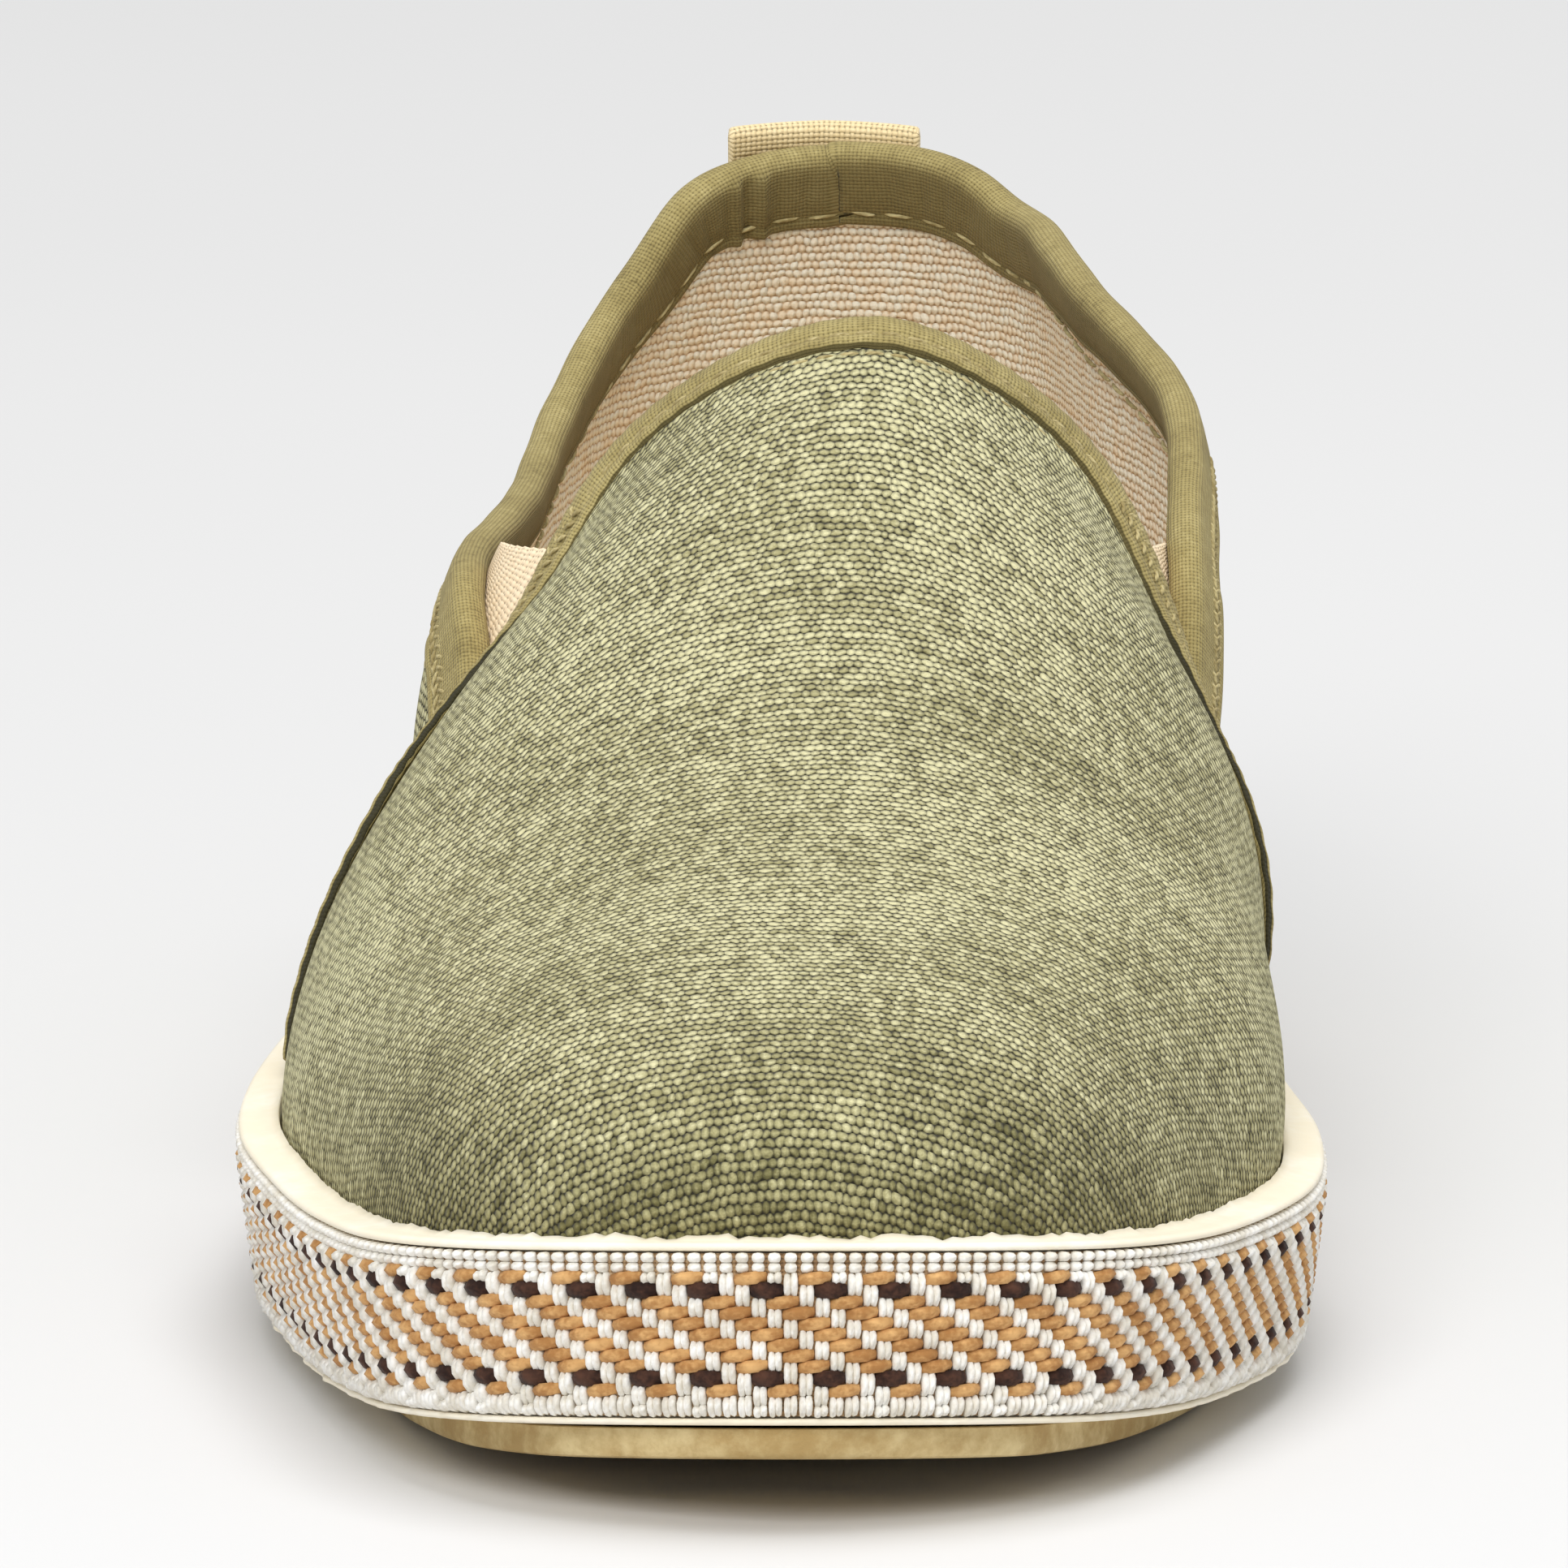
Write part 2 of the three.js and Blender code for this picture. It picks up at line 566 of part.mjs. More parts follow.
function addPiece(group, name, geometry, material) {
  const mesh = new THREE.Mesh(geometry, material);
  mesh.name = name;
  group.add(mesh);
}

const shoe = new THREE.Group();
addPiece(shoe, 'outsole', toGeometry(makeOutsole()), finishes.crepe);
addPiece(shoe, 'midsole', makeMidsole(), finishes.rubber);
addPiece(shoe, 'woven_tape', makeTape(), finishes.braid);
addPiece(shoe, 'insole', makeInsole(), finishes.lining);
addPiece(shoe, 'upper', toGeometry(upper), finishes.canvas);
addPiece(shoe, 'vamp_binding', toGeometry(makeVampBinding()), finishes.binding);
addPiece(shoe, 'collar_binding', toGeometry(makeCollarBinding()), finishes.binding);
addPiece(shoe, 'gore_lateral', toGeometry(makeGore(-1)), finishes.elastic);
addPiece(shoe, 'gore_medial', toGeometry(makeGore(1)), finishes.elastic);
addPiece(shoe, 'pull_loop', toGeometry(makePullLoop()), finishes.webbing);

// The origin is the middle of the shoe's box on the floor.
const box = new THREE.Box3().setFromObject(shoe);
shoe.position.set(-(box.min.x + box.max.x) / 2, -(box.min.y + box.max.y) / 2, -box.min.z);

export default shoe;
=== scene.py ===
# %% [markdown]
# # A canvas slip-on shoe
# The real shoe is cloth sewn over a last and glued into a rubber cup sole with a woven tape round its side.
# Here the solid parts are loaded first. Each of them is then dressed by a finer piece that lies in the same
# place, because threads, stitches and folds are too fine for solids that have to collide.

# %% The solid parts
import math

import bpy
import numpy as np
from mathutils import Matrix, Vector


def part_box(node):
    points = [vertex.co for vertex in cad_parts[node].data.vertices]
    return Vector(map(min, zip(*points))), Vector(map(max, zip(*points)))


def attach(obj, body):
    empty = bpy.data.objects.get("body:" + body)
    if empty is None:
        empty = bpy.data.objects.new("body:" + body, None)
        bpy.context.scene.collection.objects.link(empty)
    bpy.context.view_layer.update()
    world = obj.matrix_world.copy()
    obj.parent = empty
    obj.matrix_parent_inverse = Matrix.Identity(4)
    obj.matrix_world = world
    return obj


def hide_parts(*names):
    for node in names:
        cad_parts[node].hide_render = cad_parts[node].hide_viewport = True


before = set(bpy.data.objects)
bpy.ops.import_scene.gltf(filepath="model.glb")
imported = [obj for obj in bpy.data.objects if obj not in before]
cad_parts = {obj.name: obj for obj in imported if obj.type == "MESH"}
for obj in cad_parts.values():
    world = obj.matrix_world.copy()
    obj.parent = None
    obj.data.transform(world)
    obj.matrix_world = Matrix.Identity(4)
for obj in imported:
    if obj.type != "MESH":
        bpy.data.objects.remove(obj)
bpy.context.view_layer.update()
print("solid parts:", ", ".join(sorted(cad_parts)))

# %% [markdown]
# Every cloth piece lies on the last, the foot-shaped form that a shoemaker pulls the upper over. Its shape
# comes from a few tables: the sole's outline, and sections that rise from it to a ridge. The same
# tables shape the solid parts, so what is laid on this form fits them. All lengths here are millimetres.

# %% Sizes and tables
MM = 0.001
SOLE_LENGTH, BALL_WIDTH, INSTEP_HEIGHT, HEEL_COLLAR_HEIGHT = 286, 107, 90.3, 87.2
OUTSOLE_THICKNESS, FOOT_STRIP_HEIGHT, TAPE_WIDTH, LIP_HEIGHT = 3, 0.9, 16.3, 0.6
SOLE_HEIGHT = OUTSOLE_THICKNESS + FOOT_STRIP_HEIGHT + TAPE_WIDTH + LIP_HEIGHT
TAPE_LOW = OUTSOLE_THICKNESS + FOOT_STRIP_HEIGHT
TAPE_HIGH = SOLE_HEIGHT - LIP_HEIGHT
CUP_FLOOR = SOLE_HEIGHT - 5
SIDE_TAPER, RIM_WIDTH, TOE_SPRING, ARCH_RISE = 2.8, 4.3, 8.2, 1.5
GROOVE_PITCH, GROOVE_BORDER = 9, 9
CLOTH, VAMP_STEP = 1.8, 1.0
# along, lateral, medial: the outline's half widths as shares of the ball width
OUTLINE = [(.018, .15, .155), (.07, .275, .275), (.15, .34, .33), (.27, .368, .342), (.4, .43, .352),
           (.51, .493, .385), (.6, .53, .425), (.68, .534, .45), (.76, .5, .443), (.84, .455, .388),
           (.91, .397, .32), (.96, .303, .235), (.988, .175, .11)]
TOE_TIP = -.034
# along, ridge height, ridge shift, rise handle, top handle, lateral lean, medial lean
SECTIONS = np.array([
    (.17, 1.34, .04, .5, .57, .01, .01), (.29, 1.3, .052, .5, .68, .03, .2), (.4, 1.16, .047, .46, .47, .08, .26),
    (.475, 1.015, .046, .38, .42, -.09, .2), (.54, .905, .03, .42, .47, -.01, .28),
    (.6, .8, .02, .48, .49, .02, .2), (.68, .69, .01, .5, .5, .01, .13), (.75, .625, 0, .55, .55, 0, .07),
    (.8, .59, -.01, .6, .6, 0, 0), (.84, .567, -.02, .65, .6, 0, 0)])
# height share, then the place along the shoe on the lateral and on the medial side
VAMP_EDGE = [(.1, .595, .565), (.3, .57, .54), (.44, .546, .515), (.505, .519, .493), (.575, .499, .48),
             (.67, .477, .464), (.84, .461, .457), (1, .4825, .4825), (1.18, .52, .52)]
# along, then the collar's height share on the lateral and on the medial side
COLLAR = [(-.1, 1, 1), (.04, 1, 1), (.06, .985, .995), (.076, .955, .978), (.092, .87, .95), (.125, .8, .94), (.165, .745, .92),
          (.22, .708, .885), (.3, .7, .835), (.36, .7, .785), (.4, .69, .73), (.425, .65, .665),
          (.4475, .595, .6), (.49, .53, .53), (.6, .33, .33)]
low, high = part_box("pull_loop")
AXIS_X = (low[0] + high[0]) / 2 / MM
print(f"sole {SOLE_HEIGHT:.1f} mm high, shoe axis at x = {AXIS_X:.2f} mm")

# %% Smooth lines through the tables' points


def smooth_line(points, closed=False, steps=60):
    """A centripetal curve through points, as a dense line."""
    points = np.asarray(points, float)
    count = len(points)
    dense = []
    for k in range(count if closed else count - 1):
        if closed:
            p0, p1, p2, p3 = (points[(k + n) % count] for n in (-1, 0, 1, 2))
        else:
            p1, p2 = points[k], points[k + 1]
            p0 = points[k - 1] if k else 2 * p1 - p2
            p3 = points[k + 2] if k + 2 < count else 2 * p2 - p1
        d0, d1, d2 = (np.linalg.norm(b - a) ** 0.5 for a, b in ((p0, p1), (p1, p2), (p2, p3)))
        out = ((p1 - p0) / d0 - (p2 - p0) / (d0 + d1) + (p2 - p1) / d1) * d1
        back = ((p2 - p1) / d1 - (p3 - p1) / (d1 + d2) + (p3 - p2) / d2) * d1
        w = (np.arange(steps) / steps)[:, None]
        dense.append(p1 + out * w + (3 * (p2 - p1) - 2 * out - back) * w**2
                     + (2 * (p1 - p2) + out + back) * w**3)
    if not closed:
        dense.append(points[-1:])
    return np.concatenate(dense)


def lengths_along(line):
    return np.concatenate([[0], np.cumsum(np.linalg.norm(np.diff(line, axis=0), axis=-1))])


def smoothstep(value, start, end):
    w = np.clip((value - start) / (end - start), 0, 1)
    return w * w * (3 - 2 * w)


lateral = [(-row[1] * BALL_WIDTH, (.5 - row[0]) * SOLE_LENGTH) for row in OUTLINE]
medial = [(row[2] * BALL_WIDTH, (.5 - row[0]) * SOLE_LENGTH) for row in reversed(OUTLINE)]
rim_line = smooth_line([(0, SOLE_LENGTH / 2), *lateral, (TOE_TIP * BALL_WIDTH, -SOLE_LENGTH / 2), *medial], True)
toe = (len(OUTLINE) + 1) * 60
rim_line = np.vstack([rim_line, rim_line[:1]])
lateral_length, medial_length = lengths_along(rim_line[:toe + 1]), lengths_along(rim_line[toe:])
RIM_TURN = np.concatenate([lateral_length / lateral_length[-1], 1 + medial_length[1:] / medial_length[-1]])
RIM_LENGTH = lateral_length[-1] + medial_length[-1]
heading = np.roll(rim_line[:-1], -1, 0) - np.roll(rim_line[:-1], 1, 0)
heading /= np.linalg.norm(heading, axis=1)[:, None]
rim_normal = np.stack([heading[:, 1], -heading[:, 0]], 1)
rim_normal = np.vstack([rim_normal, rim_normal[:1]])
print(f"the rim is {RIM_LENGTH:.0f} mm long")

# %% [markdown]
# A place on the form has two numbers. The first one turns round the shoe: 0 at the heel, 1 at the toe by the
# lateral side, and 2 at the heel again by the medial side. The second one rises from 0 at the sole to 1 at the
# ridge, and is below 0 inside the cup. The rest is sampling: normals come from small steps to each side.

# %% The form


def sole_lift(y):
    along = .5 - y / SOLE_LENGTH
    arch = ARCH_RISE * smoothstep(along, .26, .44) * (1 - smoothstep(along, .44, .62))
    return arch + TOE_SPRING * np.maximum(0, (along - .73) / (1 - .73)) ** 2


def ring(turn, inset, height, extra=0):
    """A point of the outline moved in by an inset, at a height above the sole's underside."""
    turn = np.mod(turn, 2)
    x, y = (np.interp(turn, RIM_TURN, rim_line[:, n]) for n in (0, 1))
    nx, ny = (np.interp(turn, RIM_TURN, rim_normal[:, n]) for n in (0, 1))
    scale = np.hypot(nx, ny)
    nx, ny = nx / scale, ny / scale
    move = inset + extra * (1 - np.abs(ny) ** 2.5)
    x, y = x - nx * move, y - ny * move
    return np.stack(np.broadcast_arrays(x, y, sole_lift(y) + height), -1)


def side_inset(height):
    return SIDE_TAPER * (1 - height / SOLE_HEIGHT)


def table_value(column, along):
    places, values = SECTIONS[:, 0], SECTIONS[:, column]
    last = len(places) - 1
    k = np.clip(np.searchsorted(places, along, side="left") - 1, 0, last - 1)

    def slope(n):
        before, after = np.maximum(n - 1, 0), np.minimum(n + 1, last)
        return (values[after] - values[before]) / (places[after] - places[before])

    span = places[k + 1] - places[k]
    w = np.clip((along - places[k]) / span, 0, 1)
    return ((2 * w**3 - 3 * w**2 + 1) * values[k] + (w**3 - 2 * w**2 + w) * span * slope(k)
            + (3 * w**2 - 2 * w**3) * values[k + 1] + (w**3 - w**2) * span * slope(k + 1))


def ridge_point(along):
    return np.stack([table_value(2, along) * BALL_WIDTH, (.5 - along) * SOLE_LENGTH,
                     table_value(1, along) * INSTEP_HEIGHT], -1)


def fanned(along, heel=.2, front=.79, spread=.035):
    ahead = front + spread * (1 - np.exp(np.minimum((front - along) / spread, 0)))
    behind = heel - spread * (1 - np.exp(np.minimum((along - heel) / spread, 0)))
    return np.where(along > front, ahead, np.where(along < heel, behind, along))


def form(turn, rise):
    turn, rise = np.broadcast_arrays(np.mod(turn, 2.0), np.asarray(rise, float))
    foot, partner = ring(turn, RIM_WIDTH, SOLE_HEIGHT), ring(2 - turn, RIM_WIDTH, SOLE_HEIGHT)
    station = fanned(.5 - (foot[..., 1] + partner[..., 1]) / 2 / SOLE_LENGTH)
    top = ridge_point(station)
    out = (foot - top) * (1, 1, 0)
    reach = np.linalg.norm(out, axis=-1)
    out = out / reach[..., None]
    climb = top[..., 2] - foot[..., 2]
    ahead = ridge_point(np.minimum(station + .01, 1))
    slope = (top[..., 2] - ahead[..., 2]) / (top[..., 1] - ahead[..., 1])
    lean = np.where(turn < 1, table_value(5, station), table_value(6, station))
    low_handle = foot + out * (climb * lean)[..., None]
    low_handle[..., 2] += climb * table_value(3, station)
    handle = reach * table_value(4, station)
    high_handle = top + out * handle[..., None]
    high_handle[..., 2] += handle * out[..., 1] * slope
    w = np.clip(rise, 0, 1)[..., None]
    point = (foot * (1 - w) ** 3 + low_handle * 3 * (1 - w) ** 2 * w
             + high_handle * 3 * (1 - w) * w**2 + top * w**3)
    point[..., 2] += np.minimum(rise, 0) * 4.7
    return point


def form_normal(turn, rise):
    turn, rise = np.broadcast_arrays(np.asarray(turn, float), np.asarray(rise, float))
    low_rise = np.clip(rise - .01, 0, .98)

    def one(turn):
        level = np.clip(rise, 0, 1)
        normal = np.cross(form(turn + .002, level) - form(turn - .002, level),
                          form(turn, low_rise + .02) - form(turn, low_rise))
        return normal / np.linalg.norm(normal, axis=-1, keepdims=True)

    share = (smoothstep(rise, .97, 1) / 2)[..., None]
    normal = one(turn) * (1 - share) + one(2 - turn) * share
    normal[..., 2] *= smoothstep(rise, 0, .09)
    return normal / np.linalg.norm(normal, axis=-1, keepdims=True)


print("toe at", form(1.0, 0.0).round(1), "top of the throat at", form(.52, 1.0).round(1))

# %% [markdown]
# Canvas that has been worn creases where the foot bends, and lies in shallow waves where it was pulled over
# the last. Such folds are soft troughs and ridges, so each one is given here as a line with a width and
# a depth, and every layer of cloth on the form follows it.

# %% Creases
# from x, y, z to x, y, z, then the width and the depth, with a ridge where the depth is below 0
VAMP_CREASES = [
    (-9, -70, 66, 6, -72, 62, 7, .5), (14, -62, 66, 20, -88, 48, 6, .35), (-22, -66, 62, -27, -90, 44, 6, .4),
    (-2, -92, 52, 3, -118, 38, 9, .35), (-34, -72, 48, -38, -92, 34, 6, -.3), (26, -98, 44, 30, -112, 33, 6, .35),
    (-12, -44, 78, -4, -58, 72, 8, -.25), (34, -60, 52, 38, -80, 40, 6, .35)]
QUARTER_CREASES = [
    (-40, 40, 42, -36, 66, 50, 7, .6), (38, 44, 44, 34, 70, 52, 7, .5), (-34, 84, 40, -24, 108, 52, 8, .6),
    (30, 92, 36, 20, 114, 48, 8, .5), (-38, 20, 34, -40, 44, 30, 8, .4), (36, 14, 32, 37, 38, 28, 8, .4),
    (-6, 128, 44, 7, 128, 40, 6, .5), (-46, 8, 50, -38, 46, 60, 12, -1.1)]


def crease_depth(points, creases):
    depth = np.zeros(points.shape[:-1])
    for x0, y0, z0, x1, y1, z1, width, deep in creases:
        start, end = np.array([x0, y0, z0]), np.array([x1, y1, z1])
        w = np.clip((points - start) @ (end - start) / ((end - start) @ (end - start)), -.2, 1.2)
        gap = np.linalg.norm(points - start - w[..., None] * (end - start), axis=-1)
        fade = 1 - np.clip(np.abs(w - .5) - .25, 0, .45) / .45
        depth += deep * np.exp(-(gap / width) ** 2) * fade
    return depth


def soft_waves(points, size, seed):
    """A gentle unevenness, from a few slow waves that cross each other."""
    total = 0
    for n in range(5):
        a = seed * 2.4 + n * 1.9
        direction = np.array([math.cos(a), math.sin(a * 1.7), math.sin(a)])
        total = total + np.sin(points @ direction / size * (1 + .37 * n) + a * 3) / (1 + .5 * n)
    return total / 2.5


def skin(turn, rise, grow=0.0, creases=(), wave=0.0):
    """The form moved out by an amount, with its folds."""
    point, normal = form(turn, rise), form_normal(turn, rise)
    move = grow - crease_depth(point, creases) + wave * soft_waves(point, 11, 3)
    return point + normal * np.broadcast_to(move, point.shape[:-1])[..., None]


# %% Where the vamp's edge and the collar run on the form


vamp_lines, collar_lines = [], []
for side in (1, 2):
    line = smooth_line([((.5 - row[side]) * SOLE_LENGTH, row[0] * INSTEP_HEIGHT) for row in VAMP_EDGE])
    vamp_lines.append(line)
    line = smooth_line([((.5 - row[0]) * SOLE_LENGTH, row[side] * HEEL_COLLAR_HEIGHT) for row in COLLAR])
    collar_lines.append(line[::-1])


def turn_for(side, share):
    """The turn of a share of the way from the heel to the toe, by the lateral side 0 or the medial side 1."""
    return share if side == 0 else 2 - share


def vamp_share(side, rise, offset=0.0):
    """The share of the way to the toe where the vamp's edge crosses each height of the form."""
    line = vamp_lines[side]
    rise = np.asarray(rise, float)
    near, far = np.full(rise.shape, .2), np.full(rise.shape, .85)
    for _ in range(34):
        middle = (near + far) / 2
        point = form(turn_for(side, middle), rise)
        behind = point[..., 1] > np.interp(point[..., 2], line[:, 1], line[:, 0]) + offset
        near, far = np.where(behind, middle, near), np.where(behind, far, middle)
    return (near + far) / 2


def collar_rise(turn, offset=0.0):
    """The height on the form where the collar runs, for each turn."""
    turn = np.mod(np.asarray(turn, float), 2)
    near, far = np.zeros(turn.shape), np.ones(turn.shape)
    for _ in range(34):
        middle = (near + far) / 2
        point = form(turn, middle)
        heights = [np.interp(point[..., 1], line[:, 0], line[:, 1]) for line in collar_lines]
        below = point[..., 2] < np.where(turn < 1, heights[0], heights[1]) + offset
        near, far = np.where(below, middle, near), np.where(below, far, middle)
    return (near + far) / 2


print("vamp edge at", [round(float(vamp_share(side, .5)), 3) for side in (0, 1)],
      "collar at the heel", form(0.0, collar_rise(0.0)).round(1))

# %% [markdown]
# Most pieces start as a plain grid that is then laid on the form, as cloth is laid on a last. The grid's
# columns and rows become the piece's two directions, and its texture coordinates are the cloth's own lengths,
# so that a weave keeps one thread size all over. Seams that close are merged, and walls get their thickness
# from Solidify.

# %% Laying a grid on a surface


def select_only(piece):
    bpy.ops.object.select_all(action="DESELECT")
    piece.select_set(True)
    bpy.context.view_layer.objects.active = piece


def lay_grid(name, columns, rows, place, merge=.02):
    """Adds a grid and lays it: place(c, r) gives millimetres and cloth lengths for shares across and up."""
    bpy.ops.object.select_all(action="DESELECT")
    bpy.ops.mesh.primitive_grid_add(x_subdivisions=columns, y_subdivisions=rows, size=1, calc_uvs=True)
    piece = bpy.context.active_object
    piece.name = piece.data.name = name
    mesh = piece.data
    flat = np.empty(len(mesh.vertices) * 3)
    mesh.vertices.foreach_get("co", flat)
    flat = flat.reshape(-1, 3)
    points, cloth = place(np.round(flat[:, 0] + .5, 6), np.round(flat[:, 1] + .5, 6))
    points = points + (AXIS_X, 0, 0)
    mesh.vertices.foreach_set("co", (points * MM).ravel())
    corner = np.empty(len(mesh.loops), int)
    mesh.loops.foreach_get("vertex_index", corner)
    mesh.uv_layers[0].name = "cloth"
    mesh.uv_layers[0].data.foreach_set("uv", np.ascontiguousarray(cloth[corner]).ravel())
    mesh.update()
    select_only(piece)
    bpy.ops.object.mode_set(mode="EDIT")
    bpy.ops.mesh.select_all(action="SELECT")
    bpy.ops.mesh.remove_doubles(threshold=merge * MM)
    bpy.ops.mesh.delete_loose()
    bpy.ops.object.mode_set(mode="OBJECT")
    bpy.ops.object.shade_smooth()
    return piece


def turn_outwards(piece):
    select_only(piece)
    bpy.ops.object.mode_set(mode="EDIT")
    bpy.ops.mesh.select_all(action="SELECT")
    bpy.ops.mesh.normals_make_consistent(inside=False)
    bpy.ops.object.mode_set(mode="OBJECT")


def give_thickness(piece, thickness, offset=-1.0):
    select_only(piece)
    wall = piece.modifiers.new("wall", "SOLIDIFY")
    wall.thickness, wall.offset, wall.use_even_offset = thickness * MM, offset, False
    bpy.ops.object.modifier_apply(modifier=wall.name)
    bpy.ops.object.shade_smooth()


def finish_piece(piece, material, nodes):
    piece.data.materials.clear()
    piece.data.materials.append(material)
    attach(piece, "root")
    if nodes:
        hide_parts(*nodes)
    print(f"{piece.name}: {len(piece.data.polygons)} faces")


def cloth_lengths(turn, rise):
    """Lengths of the vamp's flat cloth: along the ridge, and out from it over each section."""
    shares = np.linspace(0, 1, 161)
    rises = np.linspace(0, 1, 61)
    result = []
    for side in (0, 1):
        turns = turn_for(side, shares)
        grid = form(turns[:, None], rises[None, :])
        step = np.linalg.norm(np.diff(grid, axis=1), axis=-1)
        from_ridge = np.concatenate([np.cumsum(step[:, ::-1], 1)[:, ::-1], np.zeros((161, 1))], 1)
        ridge_length = lengths_along(grid[:, -1])
        out = (grid[:, 0] - grid[:, -1])[:, :2]
        out /= np.linalg.norm(out, axis=1)[:, None]
        result.append((from_ridge, ridge_length, out))
    turn = np.mod(turn, 2)
    share = np.where(turn <= 1, turn, 2 - turn)
    down = np.minimum(rise, 0) * -4.7
    cloth = np.zeros(np.shape(turn) + (2,))
    for side, (from_ridge, ridge_length, out) in enumerate(result):
        a, b = share * 160, np.clip(rise, 0, 1) * 60
        i, j = np.minimum(a.astype(int), 159), np.minimum(b.astype(int), 59)
        u, v = a - i, b - j
        span = ((from_ridge[i, j] * (1 - u) + from_ridge[i + 1, j] * u) * (1 - v)
                + (from_ridge[i, j + 1] * (1 - u) + from_ridge[i + 1, j + 1] * u) * v + down)
        back = ridge_length[i] * (1 - u) + ridge_length[i + 1] * u
        direction = out[i] * (1 - u)[..., None] + out[i + 1] * u[..., None]
        lengths = np.stack([direction[..., 0] * span, -back + direction[..., 1] * span], -1)
        cloth = np.where((turn <= 1)[..., None] == (side == 0), lengths, cloth)
    return cloth * MM


def upright_lengths(turn, rise):
    """Lengths of the quarter's cloth: round the heel, and up each section."""
    turn = np.asarray(turn, float)
    shares = np.linspace(-1, 1, 241)
    rises = np.linspace(0, 1, 61)
    grid = form(np.mod(shares, 2)[:, None], rises[None, :])
    climb = np.concatenate([np.zeros((241, 1)), np.cumsum(np.linalg.norm(np.diff(grid, axis=1), axis=-1), 1)], 1)
    a, b = (turn + 1) * 120, np.clip(rise, 0, 1) * 60
    i, j = np.clip(a.astype(int), 0, 239), np.minimum(b.astype(int), 59)
    u, v = a - i, b - j
    up = ((climb[i, j] * (1 - u) + climb[i + 1, j] * u) * (1 - v)
          + (climb[i, j + 1] * (1 - u) + climb[i + 1, j + 1] * u) * v)
    return np.stack([turn * RIM_LENGTH / 2, up + np.minimum(rise, 0) * 4.7], -1) * MM


# %% [markdown]
# A finish is written as arithmetic on a shader's sockets. The small class below lets a value be added,
# multiplied and compared as in a formula, and one method makes any other node.

# %% The shader helper


class Wire:
    def __init__(self, tree, socket):
        self.tree, self.socket = tree, socket

    def make(self, kind, settings=None, inputs=None, output=0):
        node = self.tree.nodes.new(kind)
        for key, value in (settings or {}).items():
            setattr(node, key, value)
        for key, value in (inputs or {}).items():
            if isinstance(value, Wire):
                self.tree.links.new(value.socket, node.inputs[key])
            else:
                node.inputs[key].default_value = value
        return Wire(self.tree, node.outputs[output])

    def maths(self, operation, *values, clamp=False):
        return self.make("ShaderNodeMath", {"operation": operation, "use_clamp": clamp}, dict(enumerate(values)))

    def __add__(self, other):
        return self.maths("ADD", self, other)

    __radd__ = __add__

    def __sub__(self, other):
        return self.maths("SUBTRACT", self, other)

    def __rsub__(self, other):
        return self.maths("SUBTRACT", other, self)

    def __mul__(self, other):
        return self.maths("MULTIPLY", self, other)

    __rmul__ = __mul__

    def __truediv__(self, other):
        return self.maths("DIVIDE", self, other)

    def __gt__(self, other):
        return self.maths("GREATER_THAN", self, other)

    def sine(self):
        return self.maths("SINE", self)

    def floor(self):
        return self.maths("FLOOR", self)

    def fract(self):
        return self.maths("FRACT", self)

    def biggest(self, other):
        return self.maths("MAXIMUM", self, other)

    def smooth(self, start, end, low=0.0, high=1.0):
        return self.make("ShaderNodeMapRange", {"interpolation_type": "SMOOTHSTEP"},
                         {0: self, 1: start, 2: end, 3: low, 4: high})

    def mix(self, first, second):
        """Mixes two colours by this value."""
        return self.make("ShaderNodeMix", {"data_type": "RGBA"}, {0: self, 6: first, 7: second}, 2)

    def noise(self, scale, detail=2.0, roughness=.5):
        return self.make("ShaderNodeTexNoise", None,
                         {"Vector": self, "Scale": scale, "Detail": detail, "Roughness": roughness})

    def stretched(self, x, y, z):
        return self.make("ShaderNodeVectorMath", {"operation": "MULTIPLY"}, {0: self, 1: (x, y, z)})

    def part(self, axis):
        return self.make("ShaderNodeSeparateXYZ", None, {0: self}, axis)

    def bump(self, distance, strength=1.0):
        return self.make("ShaderNodeBump", None, {"Height": self, "Distance": distance, "Strength": strength})


def colour(red, green, blue):
    """A linear colour from the 0 to 255 values that a paint chart gives."""
    parts = [v / 255 for v in (red, green, blue)]
    return tuple(v / 12.92 if v <= .04045 else ((v + .055) / 1.055) ** 2.4 for v in parts) + (1.0,)


def new_finish(name, roughness, sheen=0.0):
    """A material with its Principled shader, the cloth's own lengths and the place on the object."""
    material = bpy.data.materials.new(name)
    material.use_nodes = True
    tree = material.node_tree
    shader = next(node for node in tree.nodes if node.type == "BSDF_PRINCIPLED")
    shader.inputs["Roughness"].default_value = roughness
    shader.inputs["Sheen Weight"].default_value = sheen
    shader.inputs["Specular IOR Level"].default_value = .3
    start = Wire(tree, None)
    cloth = start.make("ShaderNodeUVMap", {"uv_map": "cloth"})
    place = start.make("ShaderNodeTexCoord", None, None, "Object")
    return material, shader, cloth, place


def connect(shader, name, wire):
    wire.tree.links.new(wire.socket, shader.inputs[name])


def plain_weave(cloth, warp_pitch, weft_pitch, wave=.6):
    """Threads that pass over and under each other: their height, which one is on top, and thread numbers."""
    u, v = cloth.part(0) / warp_pitch, cloth.part(1) / weft_pitch
    warp_wave = ((v + u.floor()) * math.pi).sine()
    weft_wave = ((u + v.floor()) * math.pi).sine() * -1
    across_warp, across_weft = u.fract() * 2 - 1, v.fract() * 2 - 1
    warp = warp_wave * wave + 1 - across_warp * across_warp
    weft = weft_wave * wave + 1 - across_weft * across_weft
    return warp.biggest(weft), warp > weft, u, v
